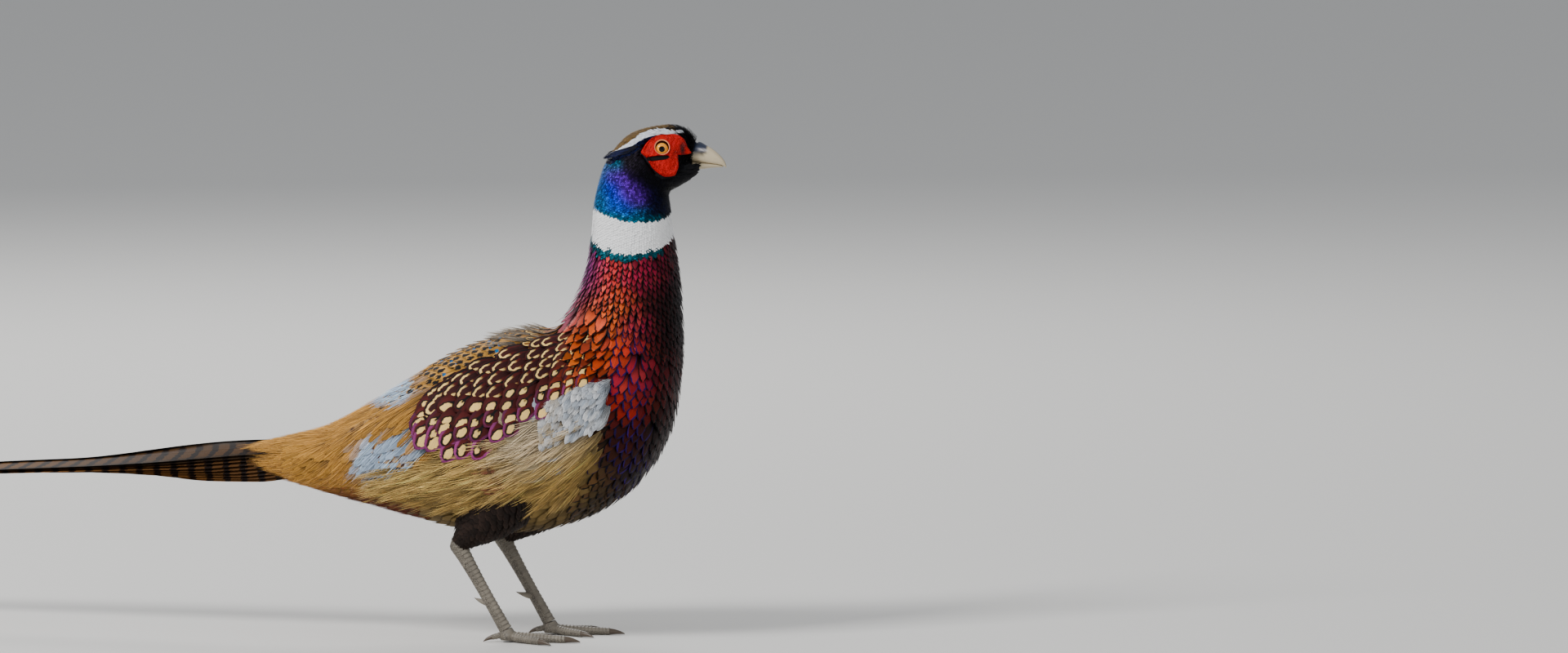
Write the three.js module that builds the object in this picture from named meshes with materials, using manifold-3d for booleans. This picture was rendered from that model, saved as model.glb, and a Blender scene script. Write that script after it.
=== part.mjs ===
// A standing cock ring-necked pheasant, life size, as a still model of closed solids.
// Millimetres, +Z up. The bird faces +X, its left side is +Y, and its toes rest on Z = 0.
import * as THREE from "three";
import Module from "manifold-3d";

const wasm = await Module();
wasm.setup();

const TOUCH_GAP = 0.3; // clearance between neighbouring nodes
const LEFT = 1;
const RIGHT = -1;
const DEGREE = Math.PI / 180;

// The feathered outline, from the tail coverts over the back and neck to the bill.
// Each station is a flat section across the body: its top and bottom points in side view, and its
// half width.
const STATIONS = [
  { top: [-163, 147], bottom: [-163, 116], half: 20 },
  { top: [-132, 155], bottom: [-130, 107], half: 33 },
  { top: [-84, 183], bottom: [-80, 94], half: 50 },
  { top: [-36, 213], bottom: [-24, 80], half: 59 },
  { top: [8, 228], bottom: [38, 83], half: 61 },
  { top: [33, 231], bottom: [90, 108], half: 57 },
  { top: [46, 242], bottom: [121, 150], half: 50 },
  { top: [54, 256], bottom: [131, 205], half: 42 },
  { top: [61, 275], bottom: [130, 258], half: 34.5 },
  { top: [65, 300], bottom: [125, 298], half: 29.5 },
  { top: [67, 322], bottom: [122, 320], half: 26.5 },
  { top: [72.5, 345], bottom: [121.5, 331], half: 23.5 },
  { top: [80, 360], bottom: [129.5, 336.5], half: 21 },
  { top: [94, 374], bottom: [137, 341], half: 19 },
  { top: [116, 380], bottom: [142, 345.5], half: 16.5 },
  { top: [131, 379], bottom: [145, 349.5], half: 13.5 },
  { top: [142, 370], bottom: [146, 353.5], half: 8.5 },
];
const NECK_AT = 6.6; // the station where the torso ends and the neck starts
const HEAD_AT = 10.4;
const BILL_AT = STATIONS.length - 1;
const FULLNESS = 0.9; // below 1 the sections are fuller than an ellipse
const AROUND = 20; // sides of each body section

// Smooth curve through a list of numbers, at a place t counted in stations.
function through(values, t) {
  const last = values.length - 1;
  const i = Math.min(Math.max(Math.floor(t), 0), last - 1);
  const at = (k) => values[Math.min(Math.max(k, 0), last)];
  const [a, b, c, d] = [at(i - 1), at(i), at(i + 1), at(i + 2)];
  const f = t - i;
  const slopeIn = i === 0 ? c - b : (c - a) / 2;
  const slopeOut = i === last - 1 ? c - b : (d - b) / 2;
  const f2 = f * f;
  const f3 = f2 * f;
  return (
    b * (2 * f3 - 3 * f2 + 1) +
    slopeIn * (f3 - 2 * f2 + f) +
    c * (3 * f2 - 2 * f3) +
    slopeOut * (f3 - f2)
  );
}

// The section at t: its middle, its half height as a vector, and its half width.
function section(t) {
  const pick = (read) => through(STATIONS.map(read), t);
  const top = [pick((s) => s.top[0]), pick((s) => s.top[1])];
  const bottom = [pick((s) => s.bottom[0]), pick((s) => s.bottom[1])];
  const arm = [(top[0] - bottom[0]) / 2, (top[1] - bottom[1]) / 2];
  return {
    middle: [(top[0] + bottom[0]) / 2, (top[1] + bottom[1]) / 2],
    arm,
    reach: Math.hypot(...arm),
    half: pick((s) => s.half),
  };
}

// A point of the plumage surface. turn is 0 along the back, 90 degrees on the left, 180 below.
function skin(t, turn, grow = 0) {
  const { middle, arm, reach, half } = section(t);
  const stretch = (reach + grow) / reach;
  const side = Math.sin(turn);
  const up = Math.cos(turn) * stretch;
  return new THREE.Vector3(
    middle[0] + arm[0] * up,
    (half + grow) * Math.sign(side) * Math.abs(side) ** FULLNESS,
    middle[1] + arm[1] * up,
  );
}

// The outward direction of the plumage surface on the left side.
function outward(t, turn) {
  const STEP = 0.01;
  const alongBody = skin(t + STEP, turn).sub(skin(t - STEP, turn));
  const aroundBody = skin(t, turn + STEP).sub(skin(t, turn - STEP));
  return alongBody.cross(aroundBody).normalize();
}

// The place on the left side that shows at (x, z) in side view, raised by lift.
// Past the outline the surface runs on flat.
function onFlank(x, z, lift, from = 0, to = NECK_AT + 1) {
  let low = from;
  let high = to;
  for (let k = 0; k < 30; k++) {
    const t = (low + high) / 2;
    const { middle, arm } = section(t);
    const ahead = arm[1] * (x - middle[0]) - arm[0] * (z - middle[1]);
    if (ahead > 0) low = t;
    else high = t;
  }
  const t = Math.max(low, 0.02);
  const { middle, arm, reach } = section(t);
  const share = ((x - middle[0]) * arm[0] + (z - middle[1]) * arm[1]) / reach ** 2;
  const turn = Math.acos(Math.min(Math.max(share, -0.96), 0.96));
  const place = skin(t, turn);
  const rest = new THREE.Vector3(x - place.x, 0, z - place.z);
  return place.add(rest).addScaledVector(outward(t, turn), lift);
}

// A closed solid from vertices and triangles, whichever way round they are given.
function closed(points, triangles) {
  const geometry = new THREE.BufferGeometry().setFromPoints(points);
  const make = (indices) =>
    new wasm.Manifold(
      new wasm.Mesh({
        numProp: 3,
        vertProperties: geometry.getAttribute("position").array,
        triVerts: new Uint32Array(indices.flat()),
      }),
    );
  const made = make(triangles);
  return made.volume() > 0 ? made : make(triangles.map(([a, b, c]) => [a, c, b]));
}

// Rings of equal count joined in order, with flat ends, or end to end in a loop.
// The two halves of a ring are split into triangles as mirror images.
function tube(rings, loop = false) {
  const sides = rings[0].length;
  const count = rings.length;
  const at = (i, j) => (i % count) * sides + (j % sides);
  const triangles = [];
  for (let i = 0; i < (loop ? count : count - 1); i++)
    for (let j = 0; j < sides; j++) {
      const [a, b, c, d] = [at(i, j), at(i + 1, j), at(i + 1, j + 1), at(i, j + 1)];
      triangles.push(...(j < sides / 2 ? [[a, b, c], [a, c, d]] : [[a, b, d], [b, c, d]]));
    }
  for (let j = 1; !loop && j < sides - 1; j++) {
    triangles.push([at(0, 0), at(0, j), at(0, j + 1)]);
    triangles.push([at(count - 1, 0), at(count - 1, j + 1), at(count - 1, j)]);
  }
  return closed(rings.flat(), triangles);
}

// A thin plate between two grids of points, split into triangles alike on both faces.
function plate(upper, lower) {
  const rows = upper.length;
  const columns = upper[0].length;
  const over = (i, j) => i * columns + j;
  const under = (i, j) => rows * columns + over(i, j);
  const triangles = [];
  for (let i = 0; i < rows - 1; i++)
    for (let j = 0; j < columns - 1; j++) {
      const corners = [[i, j], [i + 1, j], [i + 1, j + 1], [i, j + 1]];
      const [a, b, c, d] = corners.map(([r, k]) => over(r, k));
      const [e, f, g, h] = corners.map(([r, k]) => under(r, k));
      triangles.push([a, b, c], [a, c, d], [e, g, f], [e, h, g]);
    }
  const rim = [];
  for (let i = 0; i < rows - 1; i++) rim.push([i, 0]);
  for (let j = 0; j < columns - 1; j++) rim.push([rows - 1, j]);
  for (let i = rows - 1; i > 0; i--) rim.push([i, columns - 1]);
  for (let j = columns - 1; j > 0; j--) rim.push([0, j]);
  rim.forEach((p, k) => {
    const q = rim[(k + 1) % rim.length];
    triangles.push([over(...q), over(...p), under(...p)]);
    triangles.push([over(...q), under(...p), under(...q)]);
  });
  return closed([...upper.flat(), ...lower.flat()], triangles);
}

// The same solid on the bird's other side.
function mirrored(solid) {
  const { vertProperties, triVerts } = solid.getMesh();
  for (let i = 1; i < vertProperties.length; i += 3) vertProperties[i] *= -1;
  for (let i = 0; i < triVerts.length; i += 3)
    [triVerts[i], triVerts[i + 1]] = [triVerts[i + 1], triVerts[i]];
  return new wasm.Manifold(new wasm.Mesh({ numProp: 3, vertProperties, triVerts }));
}

// The largest single body of a solid.
function largest(solid) {
  return solid.decompose().reduce((a, b) => (b.volume() > a.volume() ? b : a));
}

function join(solids) {
  return solids.reduce((whole, piece) => whole.add(piece));
}

// Plumage between two stations. gap shifts the first section forward, clear of the piece behind.
function plumage(from, to, steps, gap = 0, grow = 0) {
  const rings = [];
  for (let i = 0; i <= steps; i++) {
    const t = from + ((to - from) * i) / steps;
    const { arm, reach } = section(t);
    const shift = i === 0 ? gap : 0;
    const ahead = new THREE.Vector3((arm[1] / reach) * shift, 0, (-arm[0] / reach) * shift);
    const turns = Array.from({ length: AROUND }, (_, j) => (j / AROUND) * 2 * Math.PI);
    rings.push(turns.map((turn) => skin(t, turn, grow).add(ahead)));
  }
  return tube(rings);
}

// Round tube along a list of places, each with its radius.
function limb(places, radii, sides, squash = 1) {
  const rings = places.map((place, i) => {
    const before = places[Math.max(i - 1, 0)];
    const after = places[Math.min(i + 1, places.length - 1)];
    const along = after.clone().sub(before).normalize();
    const across = new THREE.Vector3(0, 1, 0).cross(along);
    if (across.length() < 0.1) across.set(1, 0, 0);
    across.normalize();
    const beside = along.clone().cross(across).normalize();
    return Array.from({ length: sides }, (_, j) => {
      const turn = (j / sides) * 2 * Math.PI;
      return place
        .clone()
        .addScaledVector(across, radii[i] * Math.cos(turn))
        .addScaledVector(beside, radii[i] * squash * Math.sin(turn));
    });
  });
  return tube(rings);
}

function ball(radius, centre, stretch = [1, 1, 1], fineness = 12) {
  const geometry = new THREE.SphereGeometry(radius, fineness, fineness / 2);
  const points = [];
  const found = new Map();
  const position = geometry.getAttribute("position");
  const indices = Array.from({ length: position.count }, (_, i) => {
    const v = new THREE.Vector3().fromBufferAttribute(position, i);
    const key = v.toArray().map((n) => n.toFixed(4)).join().replace(/-0\.0000/g, "0.0000");
    if (!found.has(key)) {
      found.set(key, points.length);
      points.push(v.multiply(new THREE.Vector3(...stretch)).add(centre));
    }
    return found.get(key);
  });
  const source = Array.from(geometry.index.array, (i) => indices[i]);
  const triangles = [];
  for (let i = 0; i < source.length; i += 3) triangles.push(source.slice(i, i + 3));
  return closed(points, triangles);
}

// Feathers

const VANE_THICKNESS = 0.6;
const QUILL_RIDGE = 0.5;

// Share of the full width along a vane, from its root at 0 to its tip at 1.
function vaneWidth(s, point) {
  const swell = 0.6 + 0.4 * Math.min(s / 0.3, 1);
  const past = Math.max(s - (1 - point), 0) / point;
  return swell * Math.sqrt(Math.max(1 - past * past, 0.0025));
}

// A vane that lies on the flank from root to tip, both in side view. Its lift above the surface
// goes from rootLift to tipLift, and tilt raises its upper edge so that neighbours shingle.
function flankVane({ root, tip, half, rootLift, tipLift, tilt, point, steps }) {
  const run = [tip[0] - root[0], tip[1] - root[1]];
  const length = Math.hypot(...run);
  const across = [run[1] / length, -run[0] / length];
  const upper = [];
  const lower = [];
  for (let i = 0; i < steps; i++) {
    const s = i / (steps - 1);
    const width = half * vaneWidth(s, point);
    const lift = rootLift + (tipLift - rootLift) * Math.min(s * 1.9, 1);
    const rows = [-1, 1].map((edge) => {
      const x = root[0] + run[0] * s + across[0] * edge * width;
      const z = root[1] + run[1] * s + across[1] * edge * width;
      const height = lift + edge * tilt * width;
      return [onFlank(x, z, height + VANE_THICKNESS), onFlank(x, z, height)];
    });
    upper.push(rows.map((r) => r[0]));
    lower.push(rows.map((r) => r[1]));
  }
  return plate(upper, lower);
}

// A row of vanes whose roots and tips go evenly from the first to the last.
function vaneRow(count, first, last, shared) {
  return Array.from({ length: count }, (_, i) => {
    const f = i / (count - 1);
    const mix = (a, b) => a + (b - a) * f;
    const pair = (a, b) => [mix(a[0], b[0]), mix(a[1], b[1])];
    return flankVane({
      root: pair(first.root, last.root),
      tip: pair(first.tip, last.tip),
      half: mix(first.half, last.half),
      ...shared,
    });
  });
}

// Wings

// Upper and lower edge of the folded wing in side view, from the wrist back.
const WING_X = [84, 66, 20, -30, -80, -122];
const WING_UPPER = [182, 199, 205, 192, 170, 149];
const WING_LOWER = [166, 142, 124, 118, 121, 133];
const WING_RISE = 2.2; // height of the wing's core above the flank
const WING_EDGE = 0.8;
const WING_SUNK = -2.5; // under the flank, cut away again where the two meet
const SHINGLE = 0.13; // rise of a vane's upper edge for each unit of half width

// Grid of places over the wing's outline, margin wider below and above, at a height given by lift.
function overWing(rows, columns, margin, lift) {
  return Array.from({ length: rows }, (_, i) =>
    Array.from({ length: columns }, (_, j) => {
      const u = i / (rows - 1);
      const v = j / (columns - 1);
      const t = u * (WING_X.length - 1);
      const low = through(WING_LOWER, t) - margin;
      const high = through(WING_UPPER, t) + margin;
      return onFlank(through(WING_X, t), low + (high - low) * v, lift(u, v));
    }),
  );
}

function wingCore() {
  const rise = (u, v) => {
    const inside = Math.min(u * 6, (1 - u) * 3, v * 5, (1 - v) * 5, 1);
    return WING_EDGE + (WING_RISE - WING_EDGE) * inside;
  };
  return plate(overWing(9, 6, 0, rise), overWing(9, 6, 0, () => WING_SUNK));
}

// The room a wing takes, which the thigh under it stays out of.
function wingRoom() {
  const WIDER = 14;
  return plate(overWing(8, 7, WIDER, () => 18), overWing(8, 7, WIDER, () => WING_SUNK));
}

// The tiers, from the wing tip forward, so that each lies over the roots of the one behind it.
function wingVanes() {
  const primaries = vaneRow(
    4,
    { root: [-62, 130], tip: [-136, 127], half: 8 },
    { root: [-66, 150], tip: [-166, 141], half: 7 },
    { rootLift: 0.4, tipLift: 1.3, tilt: SHINGLE * 1.5, point: 0.3, steps: 4 },
  );
  const secondaries = vaneRow(
    6,
    { root: [6, 131], tip: [-66, 119], half: 9.5 },
    { root: [-24, 172], tip: [-112, 152], half: 9.5 },
    { rootLift: 0.9, tipLift: 3.6, tilt: SHINGLE * 1.2, point: 0.25, steps: 4 },
  );
  const greaterCoverts = vaneRow(
    6,
    { root: [36, 134], tip: [-14, 122], half: 9 },
    { root: [12, 175], tip: [-40, 162], half: 9 },
    { rootLift: 0.9, tipLift: 5.6, tilt: SHINGLE, point: 0.35, steps: 4 },
  );
  const medianCoverts = vaneRow(
    5,
    { root: [56, 145], tip: [20, 132], half: 8.5 },
    { root: [40, 178], tip: [4, 167], half: 8.5 },
    { rootLift: 0.9, tipLift: 7.2, tilt: SHINGLE, point: 0.45, steps: 4 },
  );
  const lesserCoverts = vaneRow(
    4,
    { root: [71, 156], tip: [46, 143], half: 8 },
    { root: [62, 183], tip: [36, 174], half: 8 },
    { rootLift: 0.7, tipLift: 8, tilt: SHINGLE, point: 0.5, steps: 4 },
  );
  const lowerScapulars = vaneRow(
    5,
    { root: [46, 199], tip: [6, 180], half: 11 },
    { root: [-44, 186], tip: [-90, 161], half: 11 },
    { rootLift: -0.4, tipLift: 8, tilt: -SHINGLE, point: 0.5, steps: 4 },
  );
  const upperScapulars = vaneRow(
    5,
    { root: [48, 206], tip: [14, 192], half: 10 },
    { root: [-36, 197], tip: [-78, 173], half: 10 },
    { rootLift: -0.4, tipLift: 9.5, tilt: -SHINGLE, point: 0.5, steps: 4 },
  );
  return [
    ...primaries,
    ...secondaries,
    ...greaterCoverts,
    ...medianCoverts,
    ...lesserCoverts,
    ...lowerScapulars,
    ...upperScapulars,
  ];
}

// Tail

const TAIL_ROOT = new THREE.Vector3(STATIONS[0].top[0] - TOUCH_GAP, 0, 131.5);
const TAIL_YAW = 12 * DEGREE; // swung to the bird's left
const TAIL_DROOP = 2.5 * DEGREE;
const TAIL_SAG = 12; // further fall of the longest vane's tip
const TAIL_PAIRS = 9;
const TAIL_LENGTHS = [402, 372, 318, 260, 206, 164, 134, 110, 92]; // past the coverts, middle pair first
const TAIL_HALF_WIDTH = 13.5;
// The folded tail is a steep roof at its root and flattens out over this length.
const FLATTENS_OVER = 170;
const TAIL_ROOF = [30, 9]; // slope of the middle pair in degrees, at the root and past the flattening
const TAIL_TIER = [1.9, 1.25]; // each pair lies this far under the one before it
const TAIL_RIDGE = [15, 3]; // height of the middle pair's joint line over the tail's axis
const LONG_PAIRS = 3; // the pairs that taper all the way to a narrow tip
const RUMP_PLUG = 24; // length of the bundle of quills that the vanes leave
const QUILL_START = 5;

const tailAlong = new THREE.Vector3(
  -Math.cos(TAIL_YAW) * Math.cos(TAIL_DROOP),
  Math.sin(TAIL_YAW) * Math.cos(TAIL_DROOP),
  -Math.sin(TAIL_DROOP),
);
const tailLeft = new THREE.Vector3(Math.sin(TAIL_YAW), Math.cos(TAIL_YAW), 0);

// Vane of one pair. The two of a pair meet along the middle like a roof, the middle pair lies on
// top, and each next pair is lower and steeper.
function tailVane(pair, side) {
  const long = pair < LONG_PAIRS;
  const length = TAIL_LENGTHS[pair];
  const steps = long ? 9 : 5;
  const half = TAIL_HALF_WIDTH - 0.3 * pair;
  const upper = [];
  const lower = [];
  for (let i = 0; i < steps; i++) {
    const s = i / (steps - 1);
    const taper = 1 - (long ? 0.5 : 0.2) * s;
    const width = half * taper * vaneWidth(0.3 + 0.7 * s, long ? 0.2 : 0.35);
    const flat = THREE.MathUtils.smoothstep(s * length, 0, FLATTENS_OVER);
    const [roof, tier, ridge] = [TAIL_ROOF, TAIL_TIER, TAIL_RIDGE].map(
      ([atRoot, past]) => atRoot + (past - atRoot) * flat,
    );
    const slope = (roof + 2.5 * pair * (1 - flat)) * DEGREE;
    const across = tailLeft.clone().multiplyScalar(side * Math.cos(slope)).setZ(-Math.sin(slope));
    const above = tailLeft.clone().multiplyScalar(side * Math.sin(slope)).setZ(Math.cos(slope));
    const fall = TAIL_SAG * ((s * length) / TAIL_LENGTHS[0]) ** 2;
    const place = TAIL_ROOT.clone()
      .addScaledVector(tailAlong, QUILL_START + s * length)
      .addScaledVector(across, width + TOUCH_GAP)
      .add(new THREE.Vector3(0, 0, ridge - tier * pair - fall));
    const row = (height) =>
      [-1, 0, 1].map((edge) =>
        place
          .clone()
          .addScaledVector(across, edge * width)
          .addScaledVector(above, height + (edge === 0 ? QUILL_RIDGE : 0)),
      );
    upper.push(row(VANE_THICKNESS / 2));
    lower.push(row(-VANE_THICKNESS / 2));
  }
  return plate(upper, lower);
}

function tail() {
  const plug = [0, 0.35, 0.7, 1].map((s) => {
    const shrink = 1 - 0.55 * s * s;
    return Array.from({ length: 16 }, (_, j) => {
      const turn = (j / 16) * 2 * Math.PI;
      return TAIL_ROOT.clone()
        .addScaledVector(tailAlong, s * RUMP_PLUG)
        .add(new THREE.Vector3(0, 18.5 * shrink * Math.sin(turn), 14.5 * shrink * Math.cos(turn)));
    });
  });
  const vanes = [];
  for (let pair = 0; pair < TAIL_PAIRS; pair++)
    for (const side of [LEFT, RIGHT]) vanes.push(tailVane(pair, side));
  const bundle = join([tube(plug), ...vanes]);
  return largest(bundle.trimByPlane([-1, 0, 0], -TAIL_ROOT.x));
}

// Head furniture

const EYE = { x: 116.6, z: 365, radius: 5.6, sunk: 3 };
const HEAD_RANGE = [HEAD_AT, BILL_AT];

// Outline of the bare red skin round the eye: angle from straight ahead, and distance.
const WATTLE_EDGE = [
  [-180, 13.6], [-168, 16], [-152, 13.6], [-128, 14.4], [-104, 17.8], [-84, 21.6], [-66, 22.6],
  [-50, 18.6], [-36, 14.4], [-24, 12.8], [-12, 21.8], [0, 18.4], [20, 17], [36, 14.8], [64, 9.8],
  [90, 8.6], [128, 9], [158, 11.2], [180, 13.6],
];
const LID = 5.1; // radius of the eye's opening

function eyeCentre() {
  return onFlank(EYE.x, EYE.z, -EYE.sunk, ...HEAD_RANGE);
}

function wattleReach(angle) {
  const after = WATTLE_EDGE.findIndex(([a]) => a >= angle);
  const [a1, r1] = WATTLE_EDGE[Math.max(after, 1)];
  const [a0, r0] = WATTLE_EDGE[Math.max(after, 1) - 1];
  return r0 + ((r1 - r0) * (angle - a0)) / (a1 - a0);
}

// Raised skin with a rolled rim, rows of small folds and the lid's ring round the eye.
function wattle() {
  const count = 26;
  const shares = [0, 0.14, 0.28, 0.8, 1];
  const heights = [0.9, 2, 1, 1.9, 0.5];
  const rings = Array.from({ length: count }, (_, i) => {
    const angle = -180 + (360 * i) / count;
    const reach = wattleReach(angle);
    const place = (share, lift) => {
      const r = LID + (reach - LID) * share;
      const x = EYE.x + r * Math.cos(angle * DEGREE);
      const z = EYE.z + r * Math.sin(angle * DEGREE);
      return onFlank(x, z, lift, ...HEAD_RANGE);
    };
    const fold = (k) => (k > 2 ? 0.35 * Math.cos(Math.PI * i + k) : 0);
    const outer = shares.map((share, k) => place(share, heights[k] + fold(k)));
    const inner = [1, 0].map((share) => place(share, -2));
    return [...outer, ...inner];
  });
  return tube(rings, true);
}

// Feather horn at the back of the crown: locks that lie along the head and end past its outline.
function earTuft() {
  const locks = [
    { root: [98, 367], tip: [75.5, 355], half: 3.2, tipLift: 1.6 },
    { root: [101, 370], tip: [77.5, 361], half: 3, tipLift: 2.6 },
  ];
  return locks.map(({ root, tip, half, tipLift }) => {
    const upper = [];
    const lower = [];
    for (let i = 0; i < 4; i++) {
      const s = i / 3;
      const width = half * vaneWidth(s, 0.75);
      const lift = -0.6 + (tipLift + 0.6) * s;
      const edges = [-1, 1].map((edge) => {
        const x = root[0] + (tip[0] - root[0]) * s;
        const z = root[1] + (tip[1] - root[1]) * s - edge * width;
        return [1.3 - 0.5 * s, -0.6].map((d) => onFlank(x, z, lift + d, ...HEAD_RANGE));
      });
      upper.push(edges.map((e) => e[0]));
      lower.push(edges.map((e) => e[1]));
    }
    return plate(upper, lower);
  });
}

// Bill

const UPPER_BILL = [
  { x: 134, top: 366, tomium: 354, half: 6.6 },
  { x: 142, top: 369, tomium: 353.2, half: 7 },
  { x: 149, top: 366.4, tomium: 352.3, half: 5.9 },
  { x: 155, top: 362.9, tomium: 351.8, half: 4.7 },
  { x: 160, top: 358.4, tomium: 351, half: 3.2 },
  { x: 163.4, top: 352, tomium: 348.6, half: 1 },
];
const LOWER_BILL = [
  { x: 134, top: 353.4, under: 349.6, half: 6 },
  { x: 144, top: 352.6, under: 347, half: 5.8 },
  { x: 151, top: 351.7, under: 347.4, half: 4.5 },
  { x: 157, top: 350.9, under: 348.4, half: 3 },
  { x: 160.6, top: 349.6, under: 348.6, half: 1.4 },
];

// Upper mandible: a rounded ridge over cutting edges that hang lower than its floor.
function upperBill(grow = 0) {
  const steps = 8;
  const last = UPPER_BILL.length - 1;
  const rings = Array.from({ length: steps + 1 }, (_, i) => {
    const t = (last * i) / steps;
    const pick = (key) => through(UPPER_BILL.map((s) => s[key]), t);
    const [x, top, edge, half] = ["x", "top", "tomium", "half"].map(pick);
    const middle = (top + edge) / 2;
    const reach = (top - edge) / 2;
    return Array.from({ length: 10 }, (_, j) => {
      const turn = (j / 10) * 2 * Math.PI;
      const up = Math.cos(turn);
      const down = up < 0 ? Math.abs(up) ** 0.5 * -1 : up;
      return new THREE.Vector3(
        x + (i === 0 ? -grow : 0),
        (half + grow) * Math.sign(Math.sin(turn)) * Math.abs(Math.sin(turn)) ** 0.85,
        middle + (reach + grow) * down,
      );
    });
  });
  return tube(rings);
}

function lowerBill(grow = 0) {
  const steps = 5;
  const last = LOWER_BILL.length - 1;
  const rings = Array.from({ length: steps + 1 }, (_, i) => {
    const t = (last * i) / steps;
    const pick = (key) => through(LOWER_BILL.map((s) => s[key]), t);
    const [x, top, under, half] = ["x", "top", "under", "half"].map(pick);
    const middle = (top + under) / 2;
    const reach = (top - under) / 2;
    return Array.from({ length: 8 }, (_, j) => {
      const turn = ((j + 0.5) / 8) * 2 * Math.PI;
      return new THREE.Vector3(
        x + (i === 0 ? -grow : 0),
        (half + grow) * Math.sin(turn),
        middle + (reach + grow) * Math.cos(turn),
      );
    });
  });
  return tube(rings);
}

const NOSTRIL = { x: 145.5, z: 360.5, slit: [3.4, 1.6, 0.9], flap: [4.6, 1.7, 2.1] };

// Soft flaps over the nostrils.
function nostrilFlaps(grow = 0) {
  return [LEFT, RIGHT].map((side) => {
    const centre = new THREE.Vector3(NOSTRIL.x - 0.5, side * 5.2, NOSTRIL.z + 2.3);
    return ball(1, centre, NOSTRIL.flap.map((r) => r + grow), 8);
  });
}

function billWithNostrils() {
  const slits = [LEFT, RIGHT].map((side) =>
    ball(1, new THREE.Vector3(NOSTRIL.x, side * 6.7, NOSTRIL.z), NOSTRIL.slit, 6),
  );
  return largest(join([upperBill(), ...nostrilFlaps()]).subtract(join(slits)));
}

// Legs

const LEG_APART = 27; // each foot's distance from the middle plane
const FEET_X = { [RIGHT]: 6, [LEFT]: 30 }; // the far foot is a short step ahead
const ANKLE_HEIGHT = 9;
const HOCK = { back: 37, height: 71 };
const KNEE = { ahead: 6, height: 120, apart: 34 };
const THIGH_END = 0.94; // the feathers end this share of the way from knee to hock
const SCUTE_STEP = 0.1; // a scute's raised edge, as a share of the limb's radius
const TOES = [
  { name: "middle", turn: 3, length: 43, thick: 3.9, scutes: 6 },
  { name: "inner", turn: -33, length: 30, thick: 3.6, scutes: 4 },
  { name: "outer", turn: 36, length: 33, thick: 3.6, scutes: 5 },
  { name: "hind", turn: 172, length: 12, thick: 2.9, scutes: 2 },
];
const CLAW_LENGTH = 11;

function legPoints(side) {
  const x = FEET_X[side];
  return {
    foot: new THREE.Vector3(x, side * LEG_APART, 0),
    ankle: new THREE.Vector3(x - 2, side * LEG_APART, ANKLE_HEIGHT),
    hock: new THREE.Vector3(x - HOCK.back, side * (LEG_APART + 1), HOCK.height),
    knee: new THREE.Vector3(x + KNEE.ahead, side * KNEE.apart, KNEE.height),
  };
}

// Places and radii along a scaly limb, with a raised edge at the foot end of each scute.
function scaly(path, radius, count) {
  const places = [];
  const radii = [];
  for (let i = 0; i < count; i++) {
    places.push(path(i / count), path((i + 0.86) / count));
    radii.push(radius(i / count), radius((i + 0.86) / count) * (1 + SCUTE_STEP));
  }
  places.push(path(1));
  radii.push(radius(1));
  return [places, radii];
}

function thigh(side, rooms) {
  const { hock, knee } = legPoints(side);
  const shares = [0, 0.3, 0.55, 0.75, 0.88, THIGH_END];
  const radii = [30, 30, 25, 17, 11, 7.5];
  const places = shares.map((s) => knee.clone().lerp(hock, s));
  return largest(limb(places, radii, 16, 0.8).subtract(rooms));
}

function shank(side) {
  const { hock, knee, ankle } = legPoints(side);
  const down = hock.clone().sub(knee).normalize();
  const start = knee.clone().lerp(hock, THIGH_END).addScaledVector(down, TOUCH_GAP);
  const [places, radii] = scaly(
    (s) => hock.clone().lerp(ankle, 0.06 + 0.94 * s),
    (s) => 4.1 + 1.7 * (1 - s) ** 3 + 0.5 * s ** 4,
    9,
  );
  const column = limb([start, hock, ...places], [6.6, 6.9, ...radii], 9, 0.82);
  const spurRoot = hock.clone().lerp(ankle, 0.68);
  const spurTip = spurRoot.clone().add(new THREE.Vector3(-13, -side * 5, 2));
  const spur = limb(
    [0, 0.35, 0.7, 1].map((s) => spurRoot.clone().lerp(spurTip, s).setZ(spurRoot.z + 3 * s * s)),
    [3.2, 2.5, 1.5, 0.4],
    7,
  );
  return largest(column.add(spur).trimByPlane([0, 0, 1], ANKLE_HEIGHT + TOUCH_GAP));
}

// Place along a toe: out from the hub, low over the floor, with a slight arch.
function toePlace(side, toe, s) {
  const { foot } = legPoints(side);
  const heading = -side * toe.turn * DEGREE;
  const raised = toe.name === "hind" ? 6.5 - 3 * s : 2.6 + 1.8 * (1 - s) ** 2;
  const out = toe.length * s;
  return foot.clone().add(
    new THREE.Vector3(out * Math.cos(heading), out * -Math.sin(heading), raised),
  );
}

function foot(side) {
  const { foot: middle } = legPoints(side);
  const hub = ball(6.4, middle.clone().setZ(4.6), [1.05, 0.95, 1], 8);
  const toes = TOES.map((toe) => {
    const [places, radii] = scaly(
      (s) => toePlace(side, toe, s),
      (s) => toe.thick * (1 - 0.3 * s),
      toe.scutes,
    );
    return limb(places, radii, 6);
  });
  const ankle = limb(
    [middle.clone().setZ(4), middle.clone().add(new THREE.Vector3(-1.6, 0, ANKLE_HEIGHT))],
    [5, 4.7],
    8,
  );
  const whole = join([hub, ankle, ...toes]);
  return largest(
    whole.trimByPlane([0, 0, 1], 0).trimByPlane([0, 0, -1], -ANKLE_HEIGHT),
  );
}

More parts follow.
